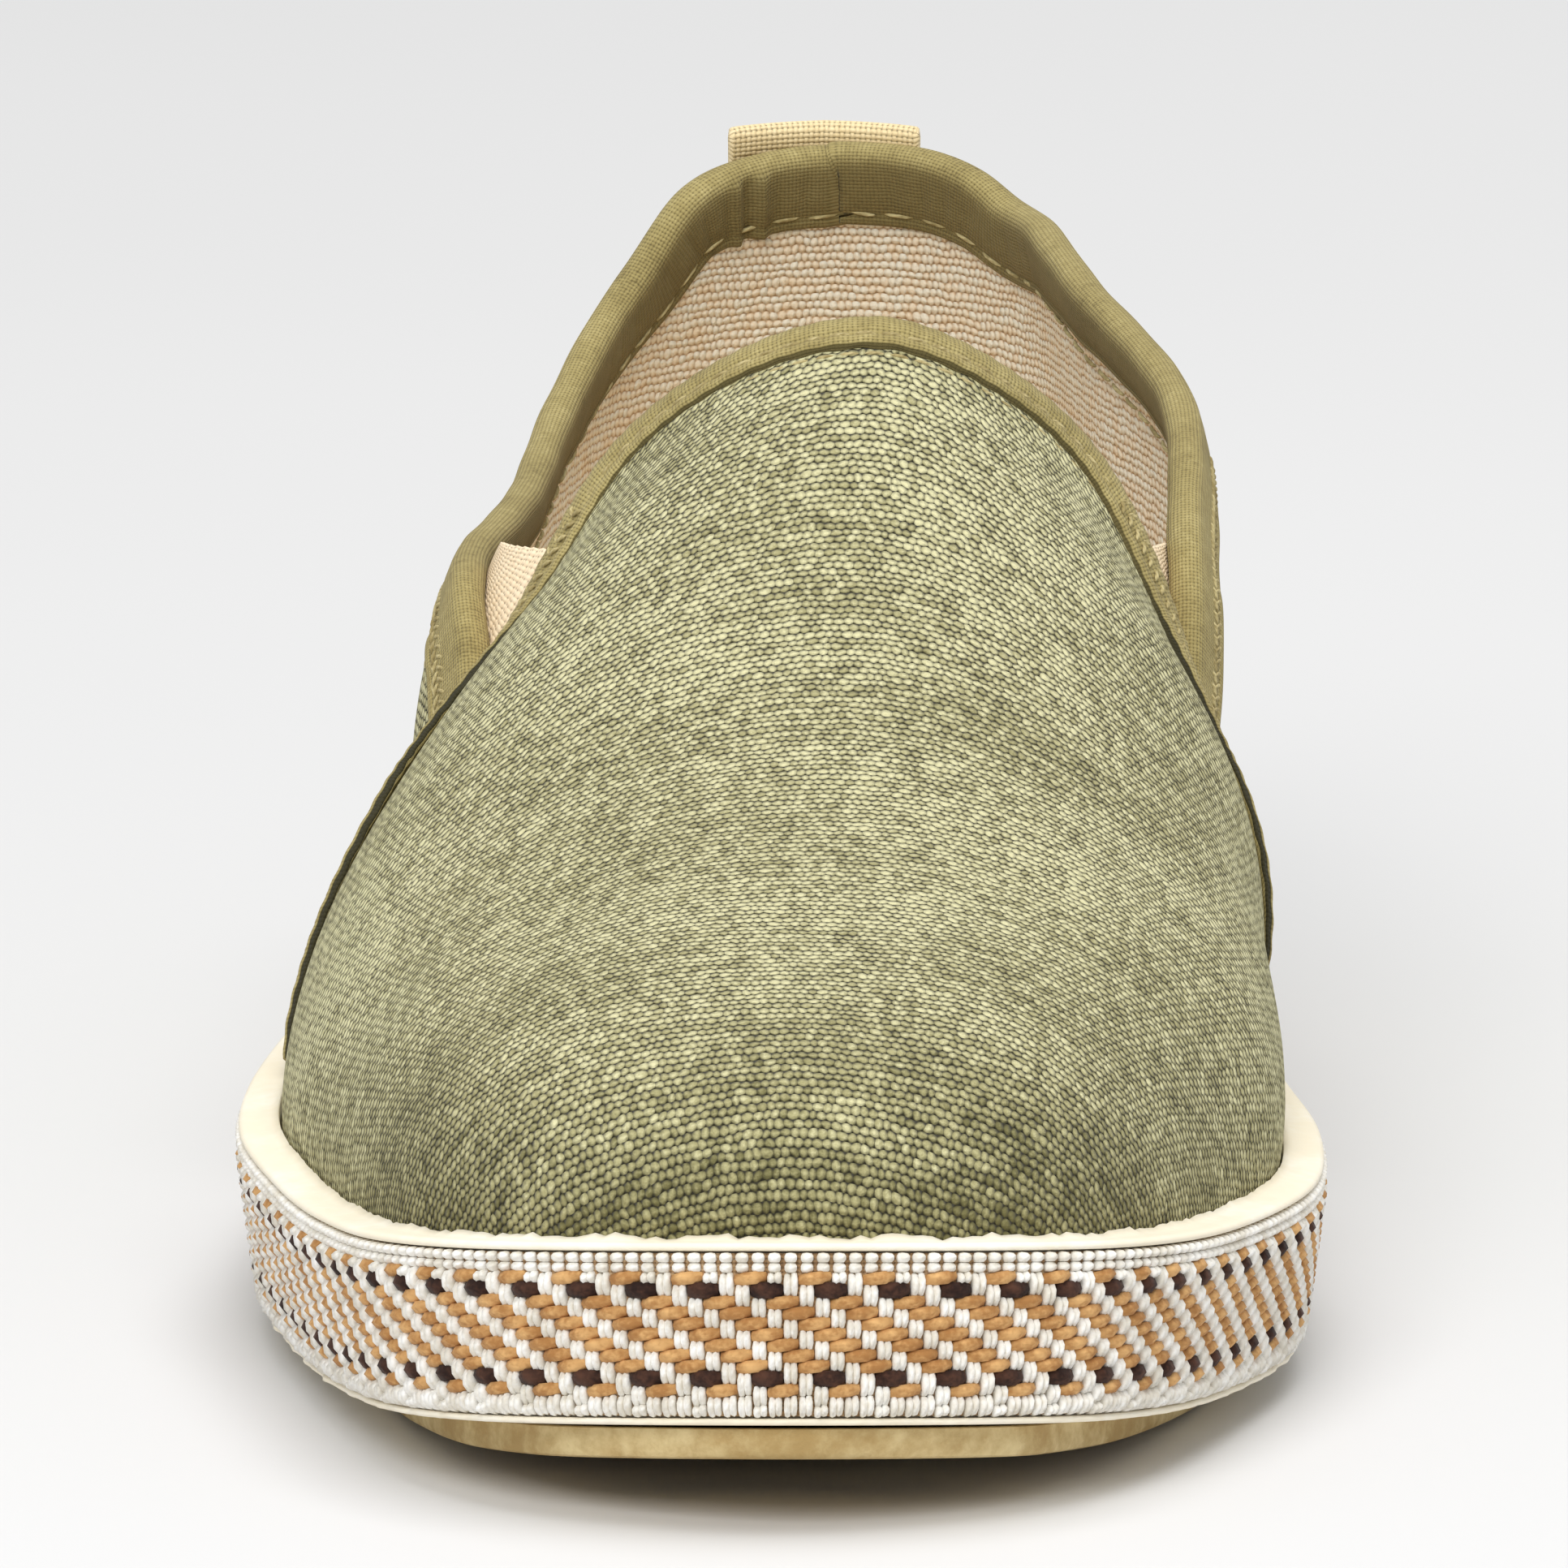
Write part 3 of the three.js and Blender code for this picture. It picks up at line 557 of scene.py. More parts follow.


# %% [markdown]
# The canvas is a coarse plain weave in olive drab. Its fat wefts show as rows of nubs, each row half a nub on
# from the next, and the gaps between them are painted nearly black as painted shade. So the pattern is one rounded
# nub in a brick bond, with its place pushed about by a fine noise and its own tone for each nub. A slow noise on
# the object's own coordinates makes the mottled wash, and the toe is painted darker near the rubber as painted
# shade, where its steep front gets less of the light from above.

# %% Canvas


def nub_weave(cloth, wide, tall):
    """Rows of nubs: their height, and a value of its own for each nub and each row."""
    row = cloth.part(1) / tall
    column = cloth.part(0) / wide + row.floor() * .5
    off_row, off_column = row.fract() * 2 - 1, column.fract() * 2 - 1
    number = cloth.make("ShaderNodeCombineXYZ", None, {0: column.floor(), 1: row.floor()})
    own = cloth.make("ShaderNodeTexWhiteNoise", {"noise_dimensions": "2D"}, {"Vector": number})
    row_own = cloth.make("ShaderNodeTexWhiteNoise", {"noise_dimensions": "1D"}, {"W": row.floor()})
    corner = off_row * off_row * off_column * off_column
    return 1 - off_row * off_row * .6 - off_column * off_column * .5 - corner * .6, own, row_own


def canvas_finish(name, pale, middle, dark, gap, wide=.95, tall=1.04, depth=.42, wash_part=1.0, toe=0.0):
    material, shader, cloth, place = new_finish(name, .95, .06)
    drift = place.make("ShaderNodeTexNoise", None, {"Vector": place, "Scale": 420.0, "Detail": 1.0}, 1)
    bent = cloth.make("ShaderNodeVectorMath", {"operation": "MULTIPLY_ADD"}, {0: drift, 1: (.0011, .0009, 0), 2: cloth})
    height, own, row_own = nub_weave(bent, wide * MM, tall * MM)
    fibres = place.noise(2400, 2, .6)
    clumps = place.noise(620, 1, .5)
    wash = place.noise(34, 3, .5)
    streaks = bent.stretched(900, 60, 1).noise(1.0, 2)
    top = height + own * .35 + clumps * .5 - .35
    # top * .22 paints the higher nubs lighter, as painted light on the weave's relief
    value = (own * .2 + row_own * .14 + fibres * .48 + clumps * .22 + streaks * .3 + (wash - .5) * wash_part
             + top * .22 - .22)
    # painted shade: the canvas is darkened low on the toe, near the rubber, where the steep front gets less light from
    # above
    if toe:
        value = value - place.part(2).smooth(.052, .022) * place.part(1).smooth(-.085, -.125) * toe
    body = value.smooth(.12, .5).mix(dark, middle)
    body = value.smooth(.42, .86).mix(body, pale)
    # painted shade: the low places between nubs take the gap colour, near black on the canvas and deeper peach on the
    # lining
    connect(shader, "Base Color", top.smooth(-.1, .76).mix(gap, body))
    connect(shader, "Normal", (top * .8 + fibres * .35).bump(depth * MM))
    connect(shader, "Roughness", wash * .06 + .92)
    return material


canvas = canvas_finish("olive canvas", colour(216, 211, 166), colour(166, 160, 115), colour(112, 107, 67),
                       colour(52, 48, 26), depth=.6, wash_part=.6, toe=.4)
lining_cloth = canvas_finish("peach lining", colour(255, 249, 230), colour(255, 238, 210), colour(246, 220, 182),
                             colour(228, 192, 148), 1.3, .95, .4, .3)
print("canvas and lining cloth")

# %% The vamp

VAMP_LOW = -.7


def vamp_place(grow, creases, wave):
    def place(c, r):
        rise = VAMP_LOW + r * (1 - VAMP_LOW)
        lateral_side = c <= .5
        shares = np.where(lateral_side, c * 2, 2 - c * 2)
        edges = np.unique(rise)
        front = [np.interp(rise, edges, vamp_share(side, edges)) for side in (0, 1)]
        start = np.where(lateral_side, front[0], front[1])
        share = start + (1 - start) * shares
        turn = np.where(lateral_side, share, 2 - share)
        return skin(turn, rise, grow, creases, wave), cloth_lengths(turn, rise)
    return place


vamp = lay_grid("vamp_canvas", 260, 110, vamp_place(0, VAMP_CREASES, .12))
give_thickness(vamp, .9)
finish_piece(vamp, canvas, ["upper"])
vamp_lining = lay_grid("vamp_lining", 130, 56, vamp_place(-1.0, VAMP_CREASES, .12))
give_thickness(vamp_lining, .7)
finish_piece(vamp_lining, lining_cloth, ["upper"])

# %% [markdown]
# The quarter is one band of canvas that runs from under the vamp round the heel and back under the vamp on
# the other side. Its top follows the collar.

# %% The quarter
TUCK = 8.0
QUARTER_ROWS = np.linspace(0, 1, 60)
quarter_fronts = []
for side in (0, 1):
    top = .5
    for _ in range(4):
        front = vamp_share(side, VAMP_LOW + QUARTER_ROWS * (top - VAMP_LOW), -TUCK)
        top = float(collar_rise(turn_for(side, front[-1])))
    quarter_fronts.append(front)


def quarter_place(grow, creases, wave, drop=.4):
    def place(c, r):
        reach = np.abs(c - .5) * 2
        front = np.where(c > .5, np.interp(r, QUARTER_ROWS, quarter_fronts[1]),
                         np.interp(r, QUARTER_ROWS, quarter_fronts[0]))
        turn = np.where(c > .5, -reach * front, reach * front)
        top = collar_rise(turn, -drop)
        rise = VAMP_LOW + r * (top - VAMP_LOW)
        return skin(np.mod(turn, 2), rise, grow, creases, wave), upright_lengths(turn, rise)
    return place


def reversed_columns(place):
    return lambda c, r: place(1 - c, r)


quarter = lay_grid("quarter_canvas", 300, 60, reversed_columns(quarter_place(-VAMP_STEP, QUARTER_CREASES, .12)))
give_thickness(quarter, .9)
finish_piece(quarter, canvas, ["upper"])
quarter_lining = lay_grid("quarter_lining", 200, 40,
                          reversed_columns(quarter_place(-VAMP_STEP - 1.0, QUARTER_CREASES, .25)))
give_thickness(quarter_lining, .8)
finish_piece(quarter_lining, lining_cloth, ["upper"])

# %% [markdown]
# Both bindings are tapes folded over a raw edge and sewn through. A folded tape is a U in section, so its
# section is carried along the edge: a row of points for each step along, in the frame that the edge, the
# cloth's own direction and its normal give. A groove lies where the stitches pull the tape down.

# %% Tapes folded over an edge


def even_steps(line, count):
    lengths = lengths_along(line)
    steps = np.linspace(0, lengths[-1], count)
    return np.stack([np.interp(steps, lengths, line[:, n]) for n in range(line.shape[1])], -1)


def edge_frame(turns, rises, grow, inward):
    """The points of an edge on the form with its normal and its direction into the cloth."""
    points = skin(turns, rises, grow)
    normal = form_normal(turns, rises)
    forward = np.gradient(points, axis=0)
    forward /= np.linalg.norm(forward, axis=1)[:, None]
    into = np.cross(normal, forward) * inward
    into /= np.linalg.norm(into, axis=1)[:, None]
    return points, normal, into


def folded_tape(name, points, normal, into, profile, rows_along, reshape):
    """Carries a closed section (depth into the cloth, height over it) along an edge."""
    profile = np.asarray(profile, float)
    around = len(profile)
    girth = lengths_along(np.vstack([profile, profile[:1]]))
    travel = lengths_along(points)

    def place(c, r):
        k = np.rint(c * rows_along).astype(int)
        j = np.rint(r * around).astype(int)
        depth, height = reshape(k, travel[k], j % around, *profile[j % around].T)
        end = np.minimum(k, rows_along - k) == 0
        depth = np.where(end, profile[:, 0].mean(), depth)
        height = np.where(end, 0, height)
        return (points[k] + into[k] * depth[:, None] + normal[k] * height[:, None],
                np.stack([travel[k], girth[j]], -1) * MM)

    piece = lay_grid(name, rows_along, around, place)
    turn_outwards(piece)
    return piece


def tape_leg(reach, cloth, full, ledge):
    """One leg of a folded tape, from its end to the fold, with the groove that its seam pulls in."""
    seam = reach - 1.3
    return [(reach + ledge, cloth - .15), (reach + ledge, cloth + .18), (reach + .05, cloth + .3),
            (reach, full - .22), (reach - .3, full - .03), (seam + .4, full - .04), (seam, full - .26),
            (seam - .4, full - .02), (seam * .6, full + .12), (seam * .28, full + .1)]


def tape_profile(outer, inner, thick=.9, cloth=.95, ledge=.35):
    full = cloth + thick
    outside = tape_leg(outer, cloth, full, ledge)
    inside = [(depth, -height) for depth, height in reversed(tape_leg(inner, cloth, full, 0))]
    fold = [(-full * .75 * math.sin(math.radians(a)), full * math.cos(math.radians(a))) for a in range(0, 181, 30)]
    hollow = [(inner - .2, -cloth), (.2, -cloth), (-.2, 0), (.2, cloth)]
    return outside + fold + inside[:-1] + hollow


STEPS_ALONG = 420
rises = np.linspace(-.05, 1, 300)
lateral_line = skin(vamp_share(0, rises), rises)
medial_line = skin(2 - vamp_share(1, rises), rises)
whole = np.column_stack([
    np.vstack([lateral_line, medial_line[::-1][1:]]),
    np.concatenate([vamp_share(0, rises), (2 - vamp_share(1, rises))[::-1][1:]]),
    np.concatenate([rises, rises[::-1][1:]])])
lengths = lengths_along(whole[:, :3])
steps = np.linspace(0, lengths[-1], STEPS_ALONG + 1)
edge_rise = np.interp(steps, lengths, whole[:, 4])
half = len(rises)
middle_length = lengths[half - 1]
edge_turn = np.where(steps <= middle_length, np.interp(steps, lengths[:half], whole[:half, 3]),
                     np.interp(steps, lengths[half - 1:], np.concatenate([[2 - whole[half - 1, 3]],
                                                                          whole[half:, 3]])))
vamp_edge_points, vamp_edge_normal, vamp_edge_into = edge_frame(edge_turn, edge_rise, -CLOTH / 2, 1)
if vamp_edge_into[STEPS_ALONG // 2][1] > 0:
    vamp_edge_into = -vamp_edge_into
print(f"the vamp's edge is {lengths[-1]:.0f} mm long")


def tape_finish(name, pale, middle, dark, pitch=.45, depth=.12, wash_part=.5, shadow=0.0, inner_leg_shade=0.0):
    """A fine plain woven tape. The part of its section below the shadow length is painted dark, as painted shade under
    the tape's raised edge over its frayed raw edge.
    """
    material, shader, cloth, place = new_finish(name, .9, .05)
    height, _, _, _ = plain_weave(cloth, pitch * MM, pitch * .9 * MM)
    fine = place.noise(2400, 2)
    value = (place.noise(90, 3, .6) - .5) * wash_part + fine * .4 + place.noise(700, 2) * .3 + height * .12 + .02
    body = value.smooth(.2, .5).mix(dark, middle)
    body = value.smooth(.45, .8).mix(body, pale)
    # painted shade: the low places of the tape's weave are darkened to half its middle colour
    body = height.smooth(.25, .9).mix(tuple(c * .5 for c in middle[:3]) + (1.0,), body)
    if shadow:
        # painted shade under the tape's edge where it stands off the canvas, over its frayed raw edge: darkest below 58
        # mm, lighter khaki above 70 mm
        shaded_raw_edge = place.part(2).smooth(.058, .070).mix(colour(52, 48, 24), colour(96, 86, 50))
        body = cloth.part(1).smooth(shadow * .8 * MM, shadow * MM).mix(shaded_raw_edge, body)
    # painted shade: the tape's inner leg, past about 11 to 13.5 mm of its girth, is darkened towards the dark colour
    if inner_leg_shade:
        body = (cloth.part(1).smooth(.0108, .0135) * inner_leg_shade).mix(body, dark)
    connect(shader, "Base Color", body)
    connect(shader, "Normal", (height * .7 + fine * .3).bump(depth * MM))
    return material


KHAKI = colour(190, 176, 122), colour(160, 145, 93), colour(110, 96, 56)
vamp_binding_cloth = tape_finish("khaki vamp binding", *KHAKI, shadow=1.05)
binding_cloth = tape_finish("khaki collar binding", *KHAKI, inner_leg_shade=.7)


def reshape_vamp_tape(k, travel, j, depth, height):
    """Wider on the sides of the foot, and standing off the canvas with a ledge just above the notch, which the tape's
    finish paints dark as painted shade.
    """
    level = vamp_edge_points[k, 2]
    side = 1 - smoothstep(level, 58, 82)
    lift = np.exp(-((level - 50) / 10) ** 2)
    outer = (height > 0) & (depth > 1)
    depth = depth * (1 + .75 * side * outer) + (j < 2) * (1.3 * lift + .12 * np.sin(travel * 1.7) - .1)
    height = height + .35 * lift * outer * (j > 1) + np.sign(height) * .05 * np.sin(travel * 2.3 + depth)
    return depth, height


vamp_tape = folded_tape("vamp_binding_tape", vamp_edge_points, vamp_edge_normal, vamp_edge_into,
                        tape_profile(3.3, 3.0), STEPS_ALONG, reshape_vamp_tape)
finish_piece(vamp_tape, vamp_binding_cloth, ["vamp_binding"])

# %% The collar's binding
notch = [float(vamp_share(side, .5)) + .012 for side in (0, 1)]
collar_turn = np.linspace(-notch[1], notch[0], 900)
collar_line = skin(np.mod(collar_turn, 2), collar_rise(collar_turn), -VAMP_STEP - CLOTH / 2)
lengths = lengths_along(collar_line)
COLLAR_STEPS = 520
collar_turn = np.interp(np.linspace(0, lengths[-1], COLLAR_STEPS + 1), lengths, collar_turn)
collar_points, collar_normal, collar_into = edge_frame(
    np.mod(collar_turn, 2), collar_rise(collar_turn), -VAMP_STEP - CLOTH / 2, 1)
collar_into[collar_into[:, 2] > 0] *= -1
COLLAR_LENGTH = lengths[-1]
print(f"the collar is {COLLAR_LENGTH:.0f} mm long")


def reshape_collar_tape(k, travel, j, depth, height):
    """Puckers on the inner leg round the heel, and the folds of the lapped joint beside the pull loop."""
    middle = travel - COLLAR_LENGTH / 2
    heel = np.exp(-(middle / 34) ** 2)
    narrow = .42 * (1 - np.exp(-(middle / 46) ** 4)) * (height < 0)
    gather = np.abs(np.sin(middle * math.pi / 4.4 + .8 * np.sin(middle * .41))) ** .6
    inner = (height < 0) & (depth > -.5)
    height = height + inner * heel * .6 * (1 - gather) * smoothstep(depth, -.2, 3.4) * (1 - smoothstep(depth, 4.4, 5.8))
    for place, size in ((5.4, .7), (7.3, -.4), (8.9, .65)):
        height = height - inner * size * np.exp(-((middle - place) / .7) ** 2)
    return depth * (1 - narrow * (depth > 0)), height + np.sign(height) * .04 * np.sin(travel * .5 + depth * .3)


collar_tape = folded_tape("collar_binding_tape", collar_points, collar_normal, collar_into,
                          tape_profile(6.6, 7.2, ledge=.05), COLLAR_STEPS, reshape_collar_tape)
finish_piece(collar_tape, binding_cloth, ["collar_binding"])

# %% [markdown]
# The sole is four rings. Each one is a section carried round the outline: a midsole with its lip, its recess
# for the tape and its cup, the outsole below it, the tape's backing, and the insole. Flat faces close on the
# line that runs down the middle of the sole.

# %% Rings round the sole


def sole_ring(name, profile, around=480, wobble=None):
    """Carries a section round the outline. A row is inset, height, extra inset at the sides and share to middle."""
    rows = np.asarray([tuple(row) + (0,) * (4 - len(row)) for row in profile], float)

    def place(c, r):
        turn = c * 2
        n = r * (len(rows) - 1)
        k = np.minimum(n.astype(int), len(rows) - 2)
        w = (n - k)[:, None]
        inset, height, extra, middle = (rows[k] * (1 - w) + rows[k + 1] * w).T
        if wobble is not None:
            inset, height = wobble(turn, n, inset, height)
        here = ring(turn, inset, height, extra)
        there = ring(2 - turn, inset, height, extra)
        point = here * (1 - middle)[:, None] + there * middle[:, None]
        travel = np.cumsum(np.concatenate([[0], np.hypot(*np.diff(rows[:, :2], axis=0).T)]))
        return point, np.stack([turn * RIM_LENGTH / 2, np.interp(n, np.arange(len(rows)), travel)], -1) * MM

    piece = lay_grid(name, around, len(rows) - 1, place)
    return piece


def rough_lip(turn, n, inset, height):
    """Glue and cut rubber leave a torn upper edge, most of all round the toe."""
    s = turn * RIM_LENGTH / 2
    ragged = np.sin(s * .61) * .4 + np.sin(s * 1.73 + 1) * .3 + np.sin(s * 3.1 + 2) * .3 + np.sin(s * 5.3) * .2
    toe = np.exp(-((turn - 1) / .16) ** 2)
    share = np.exp(-((n - 15) / 1.2) ** 2)
    low = np.exp(-((n - 4) / 1.0) ** 2)
    return (inset - low * .25 * np.sin(s * .9) * np.sin(s * .23),
            height + ragged * share * (.14 + .3 * toe) + ragged * .1 * low)


side = side_inset
midsole_profile = [
    (24, 3.3, 0, .5), (9, 3.3), (side(3.3) + .7, 3.3), (side(3.3) + .2, 3.35), (side(3.5), 3.5), (side(3.8), 3.8),
    (side(3.9) + .3, 3.95), (side(4) + 1.5, 4), (side(20) + 1.5, 20.1), (side(20.2) + .25, 20.2),
    (side(20.35), 20.35), (.12, 20.7), (.6, 20.95), (1.6, 21.0), (3.0, 21.15), (3.9, 21.55), (4.05, 21.2),
    (4.05, CUP_FLOOR), (24, CUP_FLOOR, 0, .5)]
midsole = sole_ring("midsole_rubber", midsole_profile, 600, rough_lip)
turn_outwards(midsole)
outsole_profile = [
    (26, 0, 0, .5), (10, 0, 5.7), (3.6 + .8, 0, 5.7), (3.6 + .25, .2, 5.7), (3.6, .8, 5.7), (3.6, 2.9, 5.7),
    (4.0, 3.0, 5.7), (10, 3, 5.7), (26, 3, 0, .5)]
outsole = sole_ring("outsole_crepe", outsole_profile, 480)
turn_outwards(outsole)
bpy.ops.object.select_all(action="DESELECT")
bpy.ops.mesh.primitive_cube_add(size=1)
cutter = bpy.context.active_object
blocks = []
for y in np.arange(-SOLE_LENGTH / 2, SOLE_LENGTH / 2, GROOVE_PITCH):
    along = .5 - y / SOLE_LENGTH
    ends = [ring(turn, 3.6 + GROOVE_BORDER, 0, 5.7) for turn in (np.linspace(.02, .98, 200), np.linspace(1.98, 1.02, 200))]
    near = [side[np.argmin(np.abs(side[:, 1] - y)), 0] for side in ends]
    if .3 < along < .52 or near[1] - near[0] < 12 or not .06 < along < .94:
        continue
    blocks.append(((near[0] + near[1]) / 2, y, float(sole_lift(y)), near[1] - near[0]))
select_only(cutter)
bpy.ops.object.delete()
cutters = []
for x, y, z, wide in blocks:
    bpy.ops.object.select_all(action="DESELECT")
    bpy.ops.mesh.primitive_cube_add(size=1, location=((x + AXIS_X) * MM, y * MM, z * MM),
                                    scale=(wide * MM, 1.8 * MM, 2.2 * MM))
    cutters.append(bpy.context.active_object)
for block in cutters:
    block.select_set(True)
bpy.ops.object.join()
cutter = bpy.context.active_object
bpy.ops.object.transform_apply(location=True, rotation=True, scale=True)
select_only(outsole)
cut = outsole.modifiers.new("grooves", "BOOLEAN")
cut.operation, cut.object, cut.solver = "DIFFERENCE", cutter, "FAST"
bpy.ops.object.modifier_apply(modifier=cut.name)
bpy.ops.object.shade_smooth_by_angle(angle=math.radians(40))
select_only(cutter)
bpy.ops.object.delete()
print(f"{len(blocks)} grooves under the outsole")
insole = sole_ring("insole_cloth", [
    (26, 16.2, 0, .5), (12, 16.2), (7.6, 16.2), (7.5, 19.0), (7.9, 19.5), (10, 19.55), (16, 19.3), (26, 19.1, 0, .5)])
turn_outwards(insole)

# %% Rubber, crepe and insole cloth


def rubber_finish():
    material, shader, cloth, place = new_finish("cream rubber", .55)
    grime = place.noise(40, 4, .6)
    speck = place.noise(700, 2)
    value = grime * .9 + speck * .2 - .1
    body = value.smooth(.35, .75).mix(colour(246, 236, 212), colour(255, 252, 242))
    connect(shader, "Base Color", body)
    connect(shader, "Roughness", grime * .2 + .45)
    connect(shader, "Normal", (speck * .5 + place.noise(180, 3) * .5).bump(.12 * MM))
    return material


def crepe_finish():
    material, shader, cloth, place = new_finish("tan crepe rubber", .8)
    crumb = place.noise(420, 4, .65)
    grime = place.noise(70, 3, .6)
    value = crumb * .5 + grime * .7 - .1
    body = value.smooth(.35, .7).mix(colour(176, 148, 96), colour(220, 200, 150))
    connect(shader, "Base Color", body)
    connect(shader, "Normal", crumb.bump(.35 * MM))
    connect(shader, "Roughness", crumb * .2 + .7)
    return material


rubber, crepe = rubber_finish(), crepe_finish()
finish_piece(midsole, rubber, ["midsole"])
finish_piece(outsole, crepe, ["outsole"])
insole_cloth = tape_finish("insole cloth", colour(240, 224, 198), colour(226, 206, 174), colour(196, 168, 130), .8)
finish_piece(insole, insole_cloth, ["insole"])

# %% [markdown]
# The woven tape is a jacquard ribbon: white warp threads run up and down, and tan and dark brown wefts pass
# over them in a stepped pattern that repeats every four columns. A flat texture can't give its deep relief,
# so every float is a small swollen thread. One repeat is modelled flat, an Array copies it, and the row is
# then bent round the sole.

# %% One repeat of the tape
COLUMN, REPEATS = 1.6, 106
CHART = ["WWWW", "WWWW", "WTTW", "WWDD", "TWWT", "TTWW", "WTTW", "WWTT", "TWWT", "TTWW", "WTTW", "WWDD", "TWWT",
         "WWWW", "WWWW"]
row_heights = np.array([1.0, 1.0, 1.06, 1.35] + [1.06] * 7 + [1.35, 1.06, 1.0, 1.0])
row_heights *= (TAPE_WIDTH - .5) / row_heights.sum()
row_tops = TAPE_HIGH - .2 - np.concatenate([[0], np.cumsum(row_heights)])


def thread_float(x, z, length, width, height, upright, slope=0.0):
    """One swollen thread, closed at both ends, with its long axis up or along the tape."""
    bpy.ops.mesh.primitive_uv_sphere_add(segments=6, ring_count=5, radius=1)
    thread = bpy.context.active_object
    mesh = thread.data
    co = np.empty(len(mesh.vertices) * 3)
    mesh.vertices.foreach_get("co", co)
    co = co.reshape(-1, 3)
    radius = np.hypot(co[:, 0], co[:, 1])
    fuller = np.where(radius > 1e-6, np.maximum(radius, 1e-6) ** -.45, 1)
    shape = np.stack([co[:, 0] * fuller * width / 2, co[:, 1] * fuller * height, co[:, 2] * length / 2], -1)
    shape[:, 1] -= (np.abs(co[:, 2]) ** 3) * height * .55
    if not upright:
        shape = shape[:, [2, 1, 0]] * (1, 1, -1)
        shape[:, 2] += shape[:, 0] * slope
    mesh.vertices.foreach_set("co", (shape + (x, 0, z)).ravel())
    return thread


def chart_floats(letter):
    """The floats of one yarn in the chart: columns read upwards for white, rows read along for the wefts."""
    found = []
    if letter == "W":
        for column in range(4):
            rows = [row for row in range(15) if CHART[row][column] == "W"]
            runs, run = [], [rows[0]]
            for row in rows[1:]:
                if row == run[-1] + 1:
                    run.append(row)
                else:
                    runs.append(run)
                    run = [row]
            runs.append(run)
            for run in runs:
                while run:
                    count = 1 if run[0] < 2 else 2
                    found.append((column, run[0], run[:count][-1]))
                    run = run[count:]
    else:
        for row in range(15):
            for column in range(4):
                if CHART[row][column] == letter and CHART[row][column - 1] != letter:
                    found.append((column, row, row))
    return found


def make_repeat(name, letter, edge_rows):
    threads = []
    bpy.ops.object.select_all(action="DESELECT")
    for column, first, last in chart_floats(letter):
        if letter == "W" and (first < 2 or first > 12) != edge_rows:
            continue
        top, bottom = row_tops[first], row_tops[last + 1]
        middle = (top + bottom) / 2
        if letter != "W":
            threads.append(thread_float((column + 1) * COLUMN, middle, COLUMN * 2 + .6, (top - bottom) * 1.42, 1.0,
                                        False, .1 if letter == "T" else 0))
        elif first < 2:
            threads.append(thread_float((column + .5) * COLUMN, middle, (top - bottom) * 1.1, COLUMN * .9, .7, True))
        else:
            for yarn in (-.21, .21):
                threads.append(thread_float((column + .5 + yarn) * COLUMN, middle + yarn * .3,
                                            top - bottom + .3, COLUMN * .54, .95, True))
    for thread in threads:
        thread.select_set(True)
    bpy.context.view_layer.objects.active = threads[0]
    bpy.ops.object.join()
    piece = bpy.context.active_object
    piece.name = piece.data.name = name
    turn_outwards(piece)
    copies = piece.modifiers.new("round the sole", "ARRAY")
    copies.count, copies.use_relative_offset, copies.use_constant_offset = REPEATS, False, True
    copies.constant_offset_displace = (COLUMN * 4, 0, 0)
    bpy.ops.object.modifier_apply(modifier=copies.name)
    return piece


def bend_round_sole(piece):
    """Bends the flat row of copies round the sole's side: x runs round it, y stands out and z is the height."""
    mesh = piece.data
    co = np.empty(len(mesh.vertices) * 3)
    mesh.vertices.foreach_get("co", co)
    co = co.reshape(-1, 3)
    share = co[:, 0] / (COLUMN * 4 * REPEATS)
    lengths = np.concatenate([lateral_length, lateral_length[-1] + medial_length[1:]])
    turn = np.interp(np.mod(share, 1) * RIM_LENGTH, lengths, RIM_TURN)
    points = ring(turn, side_inset(co[:, 2]) + .25 - co[:, 1], co[:, 2]) + (AXIS_X, 0, 0)
    mesh.vertices.foreach_set("co", (points * MM).ravel())
    mesh.uv_layers[0].name = "cloth"
    mesh.update()
    turn_outwards(piece)
    select_only(piece)
    bpy.ops.object.shade_smooth()


# %% The tape's yarns round the sole


def yarn_finish(name, pale, dark, twist=2.0):
    material, shader, cloth, place = new_finish(name, .88, .05)
    ply = ((cloth.part(0) * 2 + cloth.part(1) * twist) * math.tau).sine() * .5 + .5
    dirt = place.noise(300, 3, .6)
    value = dirt + place.noise(1800, 2) * .5 - .25
    connect(shader, "Base Color", (value.smooth(.3, .7) * (ply * .35 + .65)).mix(dark, pale))
    connect(shader, "Normal", (ply * .6 + place.noise(3000, 2) * .4).bump(.12 * MM))
    return material


for name, letter, edge_rows, pale, dark in (
        ("tape_white_yarn", "W", False, colour(255, 254, 250), colour(226, 220, 206)),
        ("tape_edge_yarn", "W", True, colour(255, 254, 250), colour(226, 220, 206)),
        ("tape_tan_yarn", "T", False, colour(224, 178, 118), colour(172, 122, 70)),
        ("tape_brown_yarn", "D", False, colour(84, 54, 40), colour(38, 20, 14))):
    yarns = make_repeat(name, letter, edge_rows)
    bend_round_sole(yarns)
    finish_piece(yarns, yarn_finish(name.replace("_", " "), pale, dark), ["woven_tape"])
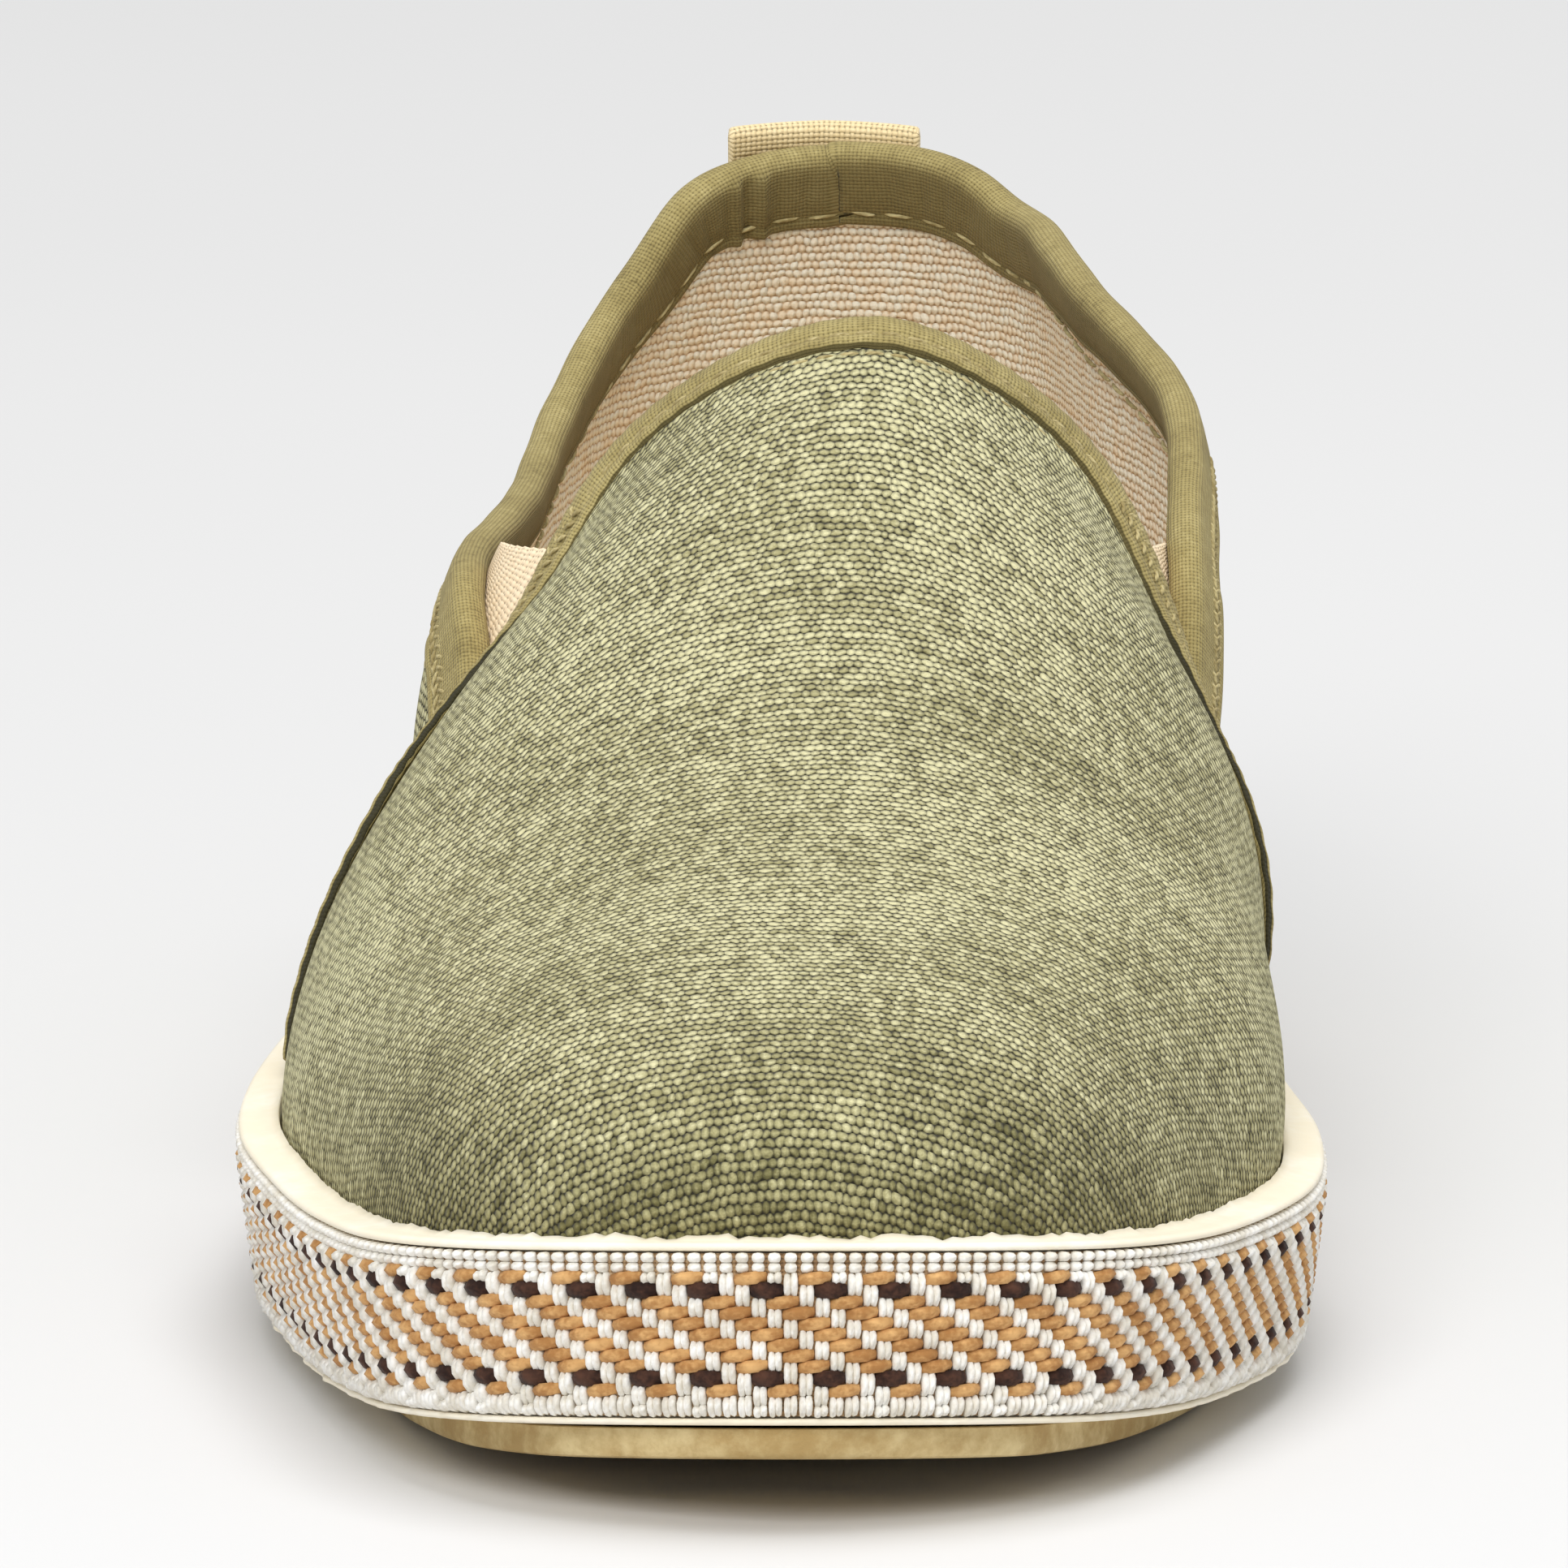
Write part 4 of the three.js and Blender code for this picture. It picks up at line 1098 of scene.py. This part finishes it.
# painted shade: the ring behind the floats is the tape's ground, coloured dark brown to stand in for the shade between
# the floats
backing = sole_ring("tape_backing_shade", [
    (side(4.2) + 1.3, 4.2), (side(4.2) + .5, 4.2), (side(20) + .5, 19.95), (side(20) + 1.3, 19.95),
    (side(4.2) + 1.3, 4.2)], 300)
turn_outwards(backing)
finish_piece(backing, tape_finish("tape backing shade", colour(206, 184, 150), colour(170, 136, 98),
                                  colour(110, 82, 56), .5), ["woven_tape"])

# %% [markdown]
# The elastic wedges sit behind the notches between vamp and quarter. They are ribbed knitted tape, placed by
# their side view: each point of a small grid is moved over the form until it has the wanted place along the
# shoe and height.

# %% The gores


def place_in_side_view(side, along_y, height, grow):
    """Turns and rises of points with a given place along the shoe and height, by a few corrected steps."""
    share = np.full(along_y.shape, .45)
    rise = np.full(along_y.shape, .5)
    for _ in range(14):
        base = skin(turn_for(side, share), rise, grow)
        one = skin(turn_for(side, share + .001), rise, grow)
        two = skin(turn_for(side, share), rise + .001, grow)
        a, b = (one - base)[..., 1:] / .001, (two - base)[..., 1:] / .001
        miss = np.stack([along_y, height], -1) - base[..., 1:]
        det = a[..., 0] * b[..., 1] - a[..., 1] * b[..., 0]
        share = np.clip(share + np.clip((miss[..., 0] * b[..., 1] - miss[..., 1] * b[..., 0]) / det, -.1, .1), .02, .9)
        rise = np.clip(rise + np.clip((a[..., 0] * miss[..., 1] - a[..., 1] * miss[..., 0]) / det, -.1, .1), .02, .98)
    return turn_for(side, share), rise


def gore_place(side):
    notch_y, notch_z = (.5 - .4475) * SOLE_LENGTH, .59 * HEEL_COLLAR_HEIGHT

    def place(c, r):
        bottom_y = notch_y - 6 + c * (17 + 12)
        bottom_z = notch_z - 6 + np.maximum(0, c - .35) / .65 * 12
        top_y = notch_y - 6 + c * 23
        top_z = notch_z + 15 - c * 3
        y, z = bottom_y * (1 - r) + top_y * r, bottom_z * (1 - r) + top_z * r
        turn, rise = place_in_side_view(side, y, z, -4.3)
        rib = .1 * np.sin(c * 23 * math.tau / 1.6)
        return skin(turn, rise, -4.3 + rib), np.stack([c * 29, r * 18], -1) * MM
    return place


elastic = tape_finish("ribbed elastic", colour(255, 240, 212), colour(252, 228, 192), colour(232, 198, 156), .7, wash_part=.2)
for side_number, node in ((0, "gore_lateral"), (1, "gore_medial")):
    place = gore_place(side_number)
    gore = lay_grid(node + "_elastic", 70, 24, place)
    give_thickness(gore, .9, 0)
    turn_outwards(gore)
    finish_piece(gore, elastic, [node])

# %% [markdown]
# The pull loop is a strip of webbing doubled over at the back of the heel. Its path goes up the heel, over
# and down again, and at each height the strip follows the heel's roundness.

# %% The pull loop
LOOP_TOP, LOOP_BOTTOM, LOOP_HALF = HEEL_COLLAR_HEIGHT + 2.4, HEEL_COLLAR_HEIGHT + 2.4 - 28, 9.6


def heel_place(x, z, grow):
    """A point at the heel with a given distance from the axis and height."""
    near, far = np.zeros(x.shape), np.full(x.shape, .2)
    level = np.full(x.shape, .4)
    for _ in range(4):
        near, far = np.zeros(x.shape), np.full(x.shape, .2)
        for _ in range(20):
            middle = (near + far) / 2
            inside = np.abs(form(middle, level)[..., 0]) < np.abs(x)
            near, far = np.where(inside, middle, near), np.where(inside, far, middle)
        low_level, high_level = np.zeros(x.shape), np.ones(x.shape)
        for _ in range(20):
            mean = (low_level + high_level) / 2
            below = form(near, mean)[..., 2] < z
            low_level, high_level = np.where(below, mean, low_level), np.where(below, high_level, mean)
        level = low_level
    turn = np.where(x < 0, near, 2 - near)
    point, normal = form(turn, level), form_normal(turn, level)
    return np.stack([x, point[..., 1] + normal[..., 1] * grow, z], -1)


def loop_place(c, r):
    x = (c - .5) * 2 * LOOP_HALF
    path = np.array([(1.0, LOOP_BOTTOM + .3), (1.0, LOOP_TOP - 12), (1.1, LOOP_TOP - 5), (1.2, LOOP_TOP - 1.8),
                     (1.7, LOOP_TOP - .75), (2.3, LOOP_TOP - .55), (2.9, LOOP_TOP - .8), (3.3, LOOP_TOP - 1.9),
                     (3.3, LOOP_TOP - 6), (3.0, LOOP_TOP - 14), (2.2, LOOP_BOTTOM + 5), (2.1, LOOP_BOTTOM + .2)])
    line = even_steps(smooth_line(path, steps=20), 201)
    grow = np.interp(r, np.linspace(0, 1, 201), line[:, 0])
    height = np.interp(r, np.linspace(0, 1, 201), line[:, 1])
    return heel_place(x, height, grow), np.stack([x, r * 58], -1) * MM


webbing = tape_finish("pull loop webbing", colour(250, 232, 192), colour(238, 216, 168), colour(204, 176, 126), .55, .2, .3)
pull_loop = lay_grid("pull_loop_webbing", 28, 90, loop_place)
give_thickness(pull_loop, 1.0, 0)
turn_outwards(pull_loop)
finish_piece(pull_loop, webbing, ["pull_loop"])

# %% [markdown]
# A stitch is a short thread that dips into the cloth at both ends. One is modelled from a small sphere, an
# Array copies it, and each copy is then set on its own place along the seam.

# %% Stitches


def stitch_row(name, points, normals, length, width, material, lean=0.0):
    """A row of stitches at points, along the line that the points make."""
    count = len(points)
    bpy.ops.object.select_all(action="DESELECT")
    bpy.ops.mesh.primitive_uv_sphere_add(segments=8, ring_count=6, radius=1)
    piece = bpy.context.active_object
    piece.name = piece.data.name = name
    mesh = piece.data
    co = np.empty(len(mesh.vertices) * 3)
    mesh.vertices.foreach_get("co", co)
    co = co.reshape(-1, 3)
    radius = np.hypot(co[:, 0], co[:, 1])
    fuller = np.where(radius > 1e-6, np.maximum(radius, 1e-6) ** -.4, 1)
    shape = np.stack([co[:, 2] * length / 2, co[:, 0] * fuller * width / 2,
                      co[:, 1] * fuller * width / 2 - np.abs(co[:, 2]) ** 3 * width * .5], -1)
    each = len(shape)
    mesh.vertices.foreach_set("co", shape.ravel())
    copies = piece.modifiers.new("seam", "ARRAY")
    copies.count, copies.use_relative_offset, copies.use_constant_offset = count, False, True
    copies.constant_offset_displace = (length * 2, 0, 0)
    bpy.ops.object.modifier_apply(modifier=copies.name)
    along = np.gradient(points, axis=0)
    along /= np.linalg.norm(along, axis=1)[:, None]
    across = np.cross(normals, along)
    across /= np.linalg.norm(across, axis=1)[:, None]
    if lean:
        turned = along * math.cos(lean) + across * math.sin(lean)
        along, across = turned, np.cross(normals, turned)
    up = np.cross(along, across)
    placed = (points[:, None] + shape[None, :, 0, None] * along[:, None]
              + shape[None, :, 1, None] * across[:, None] + shape[None, :, 2, None] * up[:, None])
    assert len(piece.data.vertices) == count * each
    placed = placed.reshape(-1, 3) + (AXIS_X, 0, 0)
    piece.data.vertices.foreach_set("co", (placed * MM).ravel())
    piece.data.uv_layers[0].name = "cloth"
    piece.data.update()
    turn_outwards(piece)
    select_only(piece)
    bpy.ops.object.shade_smooth()
    finish_piece(piece, material, [])
    return piece


khaki_thread = yarn_finish("khaki thread", colour(204, 190, 140), colour(150, 134, 88), 3.0)
cream_thread = yarn_finish("cream thread", colour(240, 226, 192), colour(196, 172, 130), 3.0)


def along_edge(points, normal, into, depth, height, pitch):
    line = points + into * depth + normal * height
    lengths = lengths_along(line)
    places = np.arange(pitch, lengths[-1] - pitch, pitch)
    return (np.stack([np.interp(places, lengths, line[:, n]) for n in range(3)], -1),
            np.stack([np.interp(places, lengths, normal[:, n]) for n in range(3)], -1))


def sides_only(points, low, high):
    return (points[:, 2] > low) & (points[:, 2] < high)


for name, depth, height, lean, pitch, sides in (
        ("vamp_binding_stitches", 2.0, 1.66, 0, 2.6, False), ("vamp_zigzag_stitches", 1.3, 1.95, .9, 1.5, True),
        ("vamp_back_zigzag_stitches", 2.7, 1.98, -.9, 1.5, True), ("vamp_outer_stitches", 4.3, .95, 0, 2.5, False)):
    points, normals = along_edge(vamp_edge_points, vamp_edge_normal, vamp_edge_into, depth, height, pitch)
    if sides:
        kept = sides_only(points, 24, 72)
        for part, group in (("lateral", kept & (points[:, 0] < 0)), ("medial", kept & (points[:, 0] > 0))):
            stitch_row(f"{name}_{part}", points[group], normals[group], 1.7, .42, khaki_thread, lean)
    else:
        stitch_row(name, points, normals, pitch * .84, .42, khaki_thread, lean)
for name, depth, height, pitch in (("collar_outer_stitches", 5.3, 1.62, 3.0), ("collar_inner_stitches", 5.75, -1.72, 4.2),
                                   ("collar_quarter_stitches", 7.9, .98, 3.0)):
    points, normals = along_edge(collar_points, collar_normal, collar_into, depth, height, pitch)
    stitch_row(name, points, normals if height > 0 else -normals, pitch * .86, .45, khaki_thread)
for depth, lean in ((3.3, .8), (4.3, -.8)):
    points, normals = along_edge(collar_points, collar_normal, collar_into, depth, 2.0, 1.5)
    places = np.arange(len(points)) * 1.5
    for part, group in (("medial", places < 48), ("lateral", places > places[-1] - 48)):
        stitch_row(f"collar_zigzag_{part}_{int(depth)}", points[group], normals[group], 1.7, .42, khaki_thread,
                   lean)

# %% Stitches that hold the pull loop
for name, height in (("loop_low_stitches", LOOP_BOTTOM + 2.2), ("loop_high_stitches", LOOP_BOTTOM + 6.5)):
    x = np.linspace(-LOOP_HALF + 1.6, LOOP_HALF - 1.6, 8)
    level = np.full(x.shape, height)
    points = heel_place(x, level, 3.05)
    normals = np.gradient(heel_place(x, level, 3.05), axis=0)
    normals = np.stack([-normals[:, 1], normals[:, 0], np.zeros(len(x))], -1)
    normals /= np.linalg.norm(normals, axis=1)[:, None]
    stitch_row(name, points, normals, 1.9, .5, cream_thread)

# %% [markdown]
# The shoe stands on a pale studio floor under one broad soft light, with a paler fill from the camera's
# side. The camera is far away with a long lens, as for a catalogue picture.

# %% Floor, lights and camera
bpy.ops.object.select_all(action="DESELECT")
bpy.ops.mesh.primitive_plane_add(size=14, location=(0, 0, 0))
floor = bpy.context.active_object
floor.name = "studio_floor"
floor_paint, shader, _, place = new_finish("studio floor", .9)
connect(shader, "Base Color", place.noise(2, 2).smooth(.2, .8).mix(colour(219, 219, 219), colour(223, 223, 223)))
floor.data.materials.append(floor_paint)


def soft_light(name, place, size, energy, target=(0, 0, .04)):
    bpy.ops.object.light_add(type="AREA", location=place)
    light = bpy.context.active_object
    light.name = name
    light.data.shape, light.data.size, light.data.size_y, light.data.energy = "RECTANGLE", *size, energy
    away = np.array(target) - np.array(place)
    light.rotation_euler = (math.atan2(math.hypot(away[0], away[1]), -away[2]), 0, math.atan2(-away[0], away[1]))
    return light


soft_light("overhead softbox", (.3, -.35, 2.4), (1.6, 1.6), 36)
soft_light("front fill", (-.6, -2.4, 2.0), (1.6, 1.4), 48)
world = bpy.data.worlds.new("pale room")
bpy.context.scene.world = world
world.use_nodes = True
world.node_tree.nodes["Background"].inputs[0].default_value = (1, 1, 1, 1)
world.node_tree.nodes["Background"].inputs[1].default_value = .5
bpy.context.scene.view_settings.view_transform = "Standard"

bpy.ops.object.camera_add(location=(AXIS_X * MM - .00413, -.0 - 2.76863 - .1429, .61448),
                          rotation=(math.radians(90 - 11.0616), 0, 0))
camera = bpy.context.active_object
camera.data.lens, camera.data.sensor_width, camera.data.clip_end = 688.9, 36, 20
bpy.context.scene.camera = camera
print("camera", [round(v, 3) for v in camera.location])
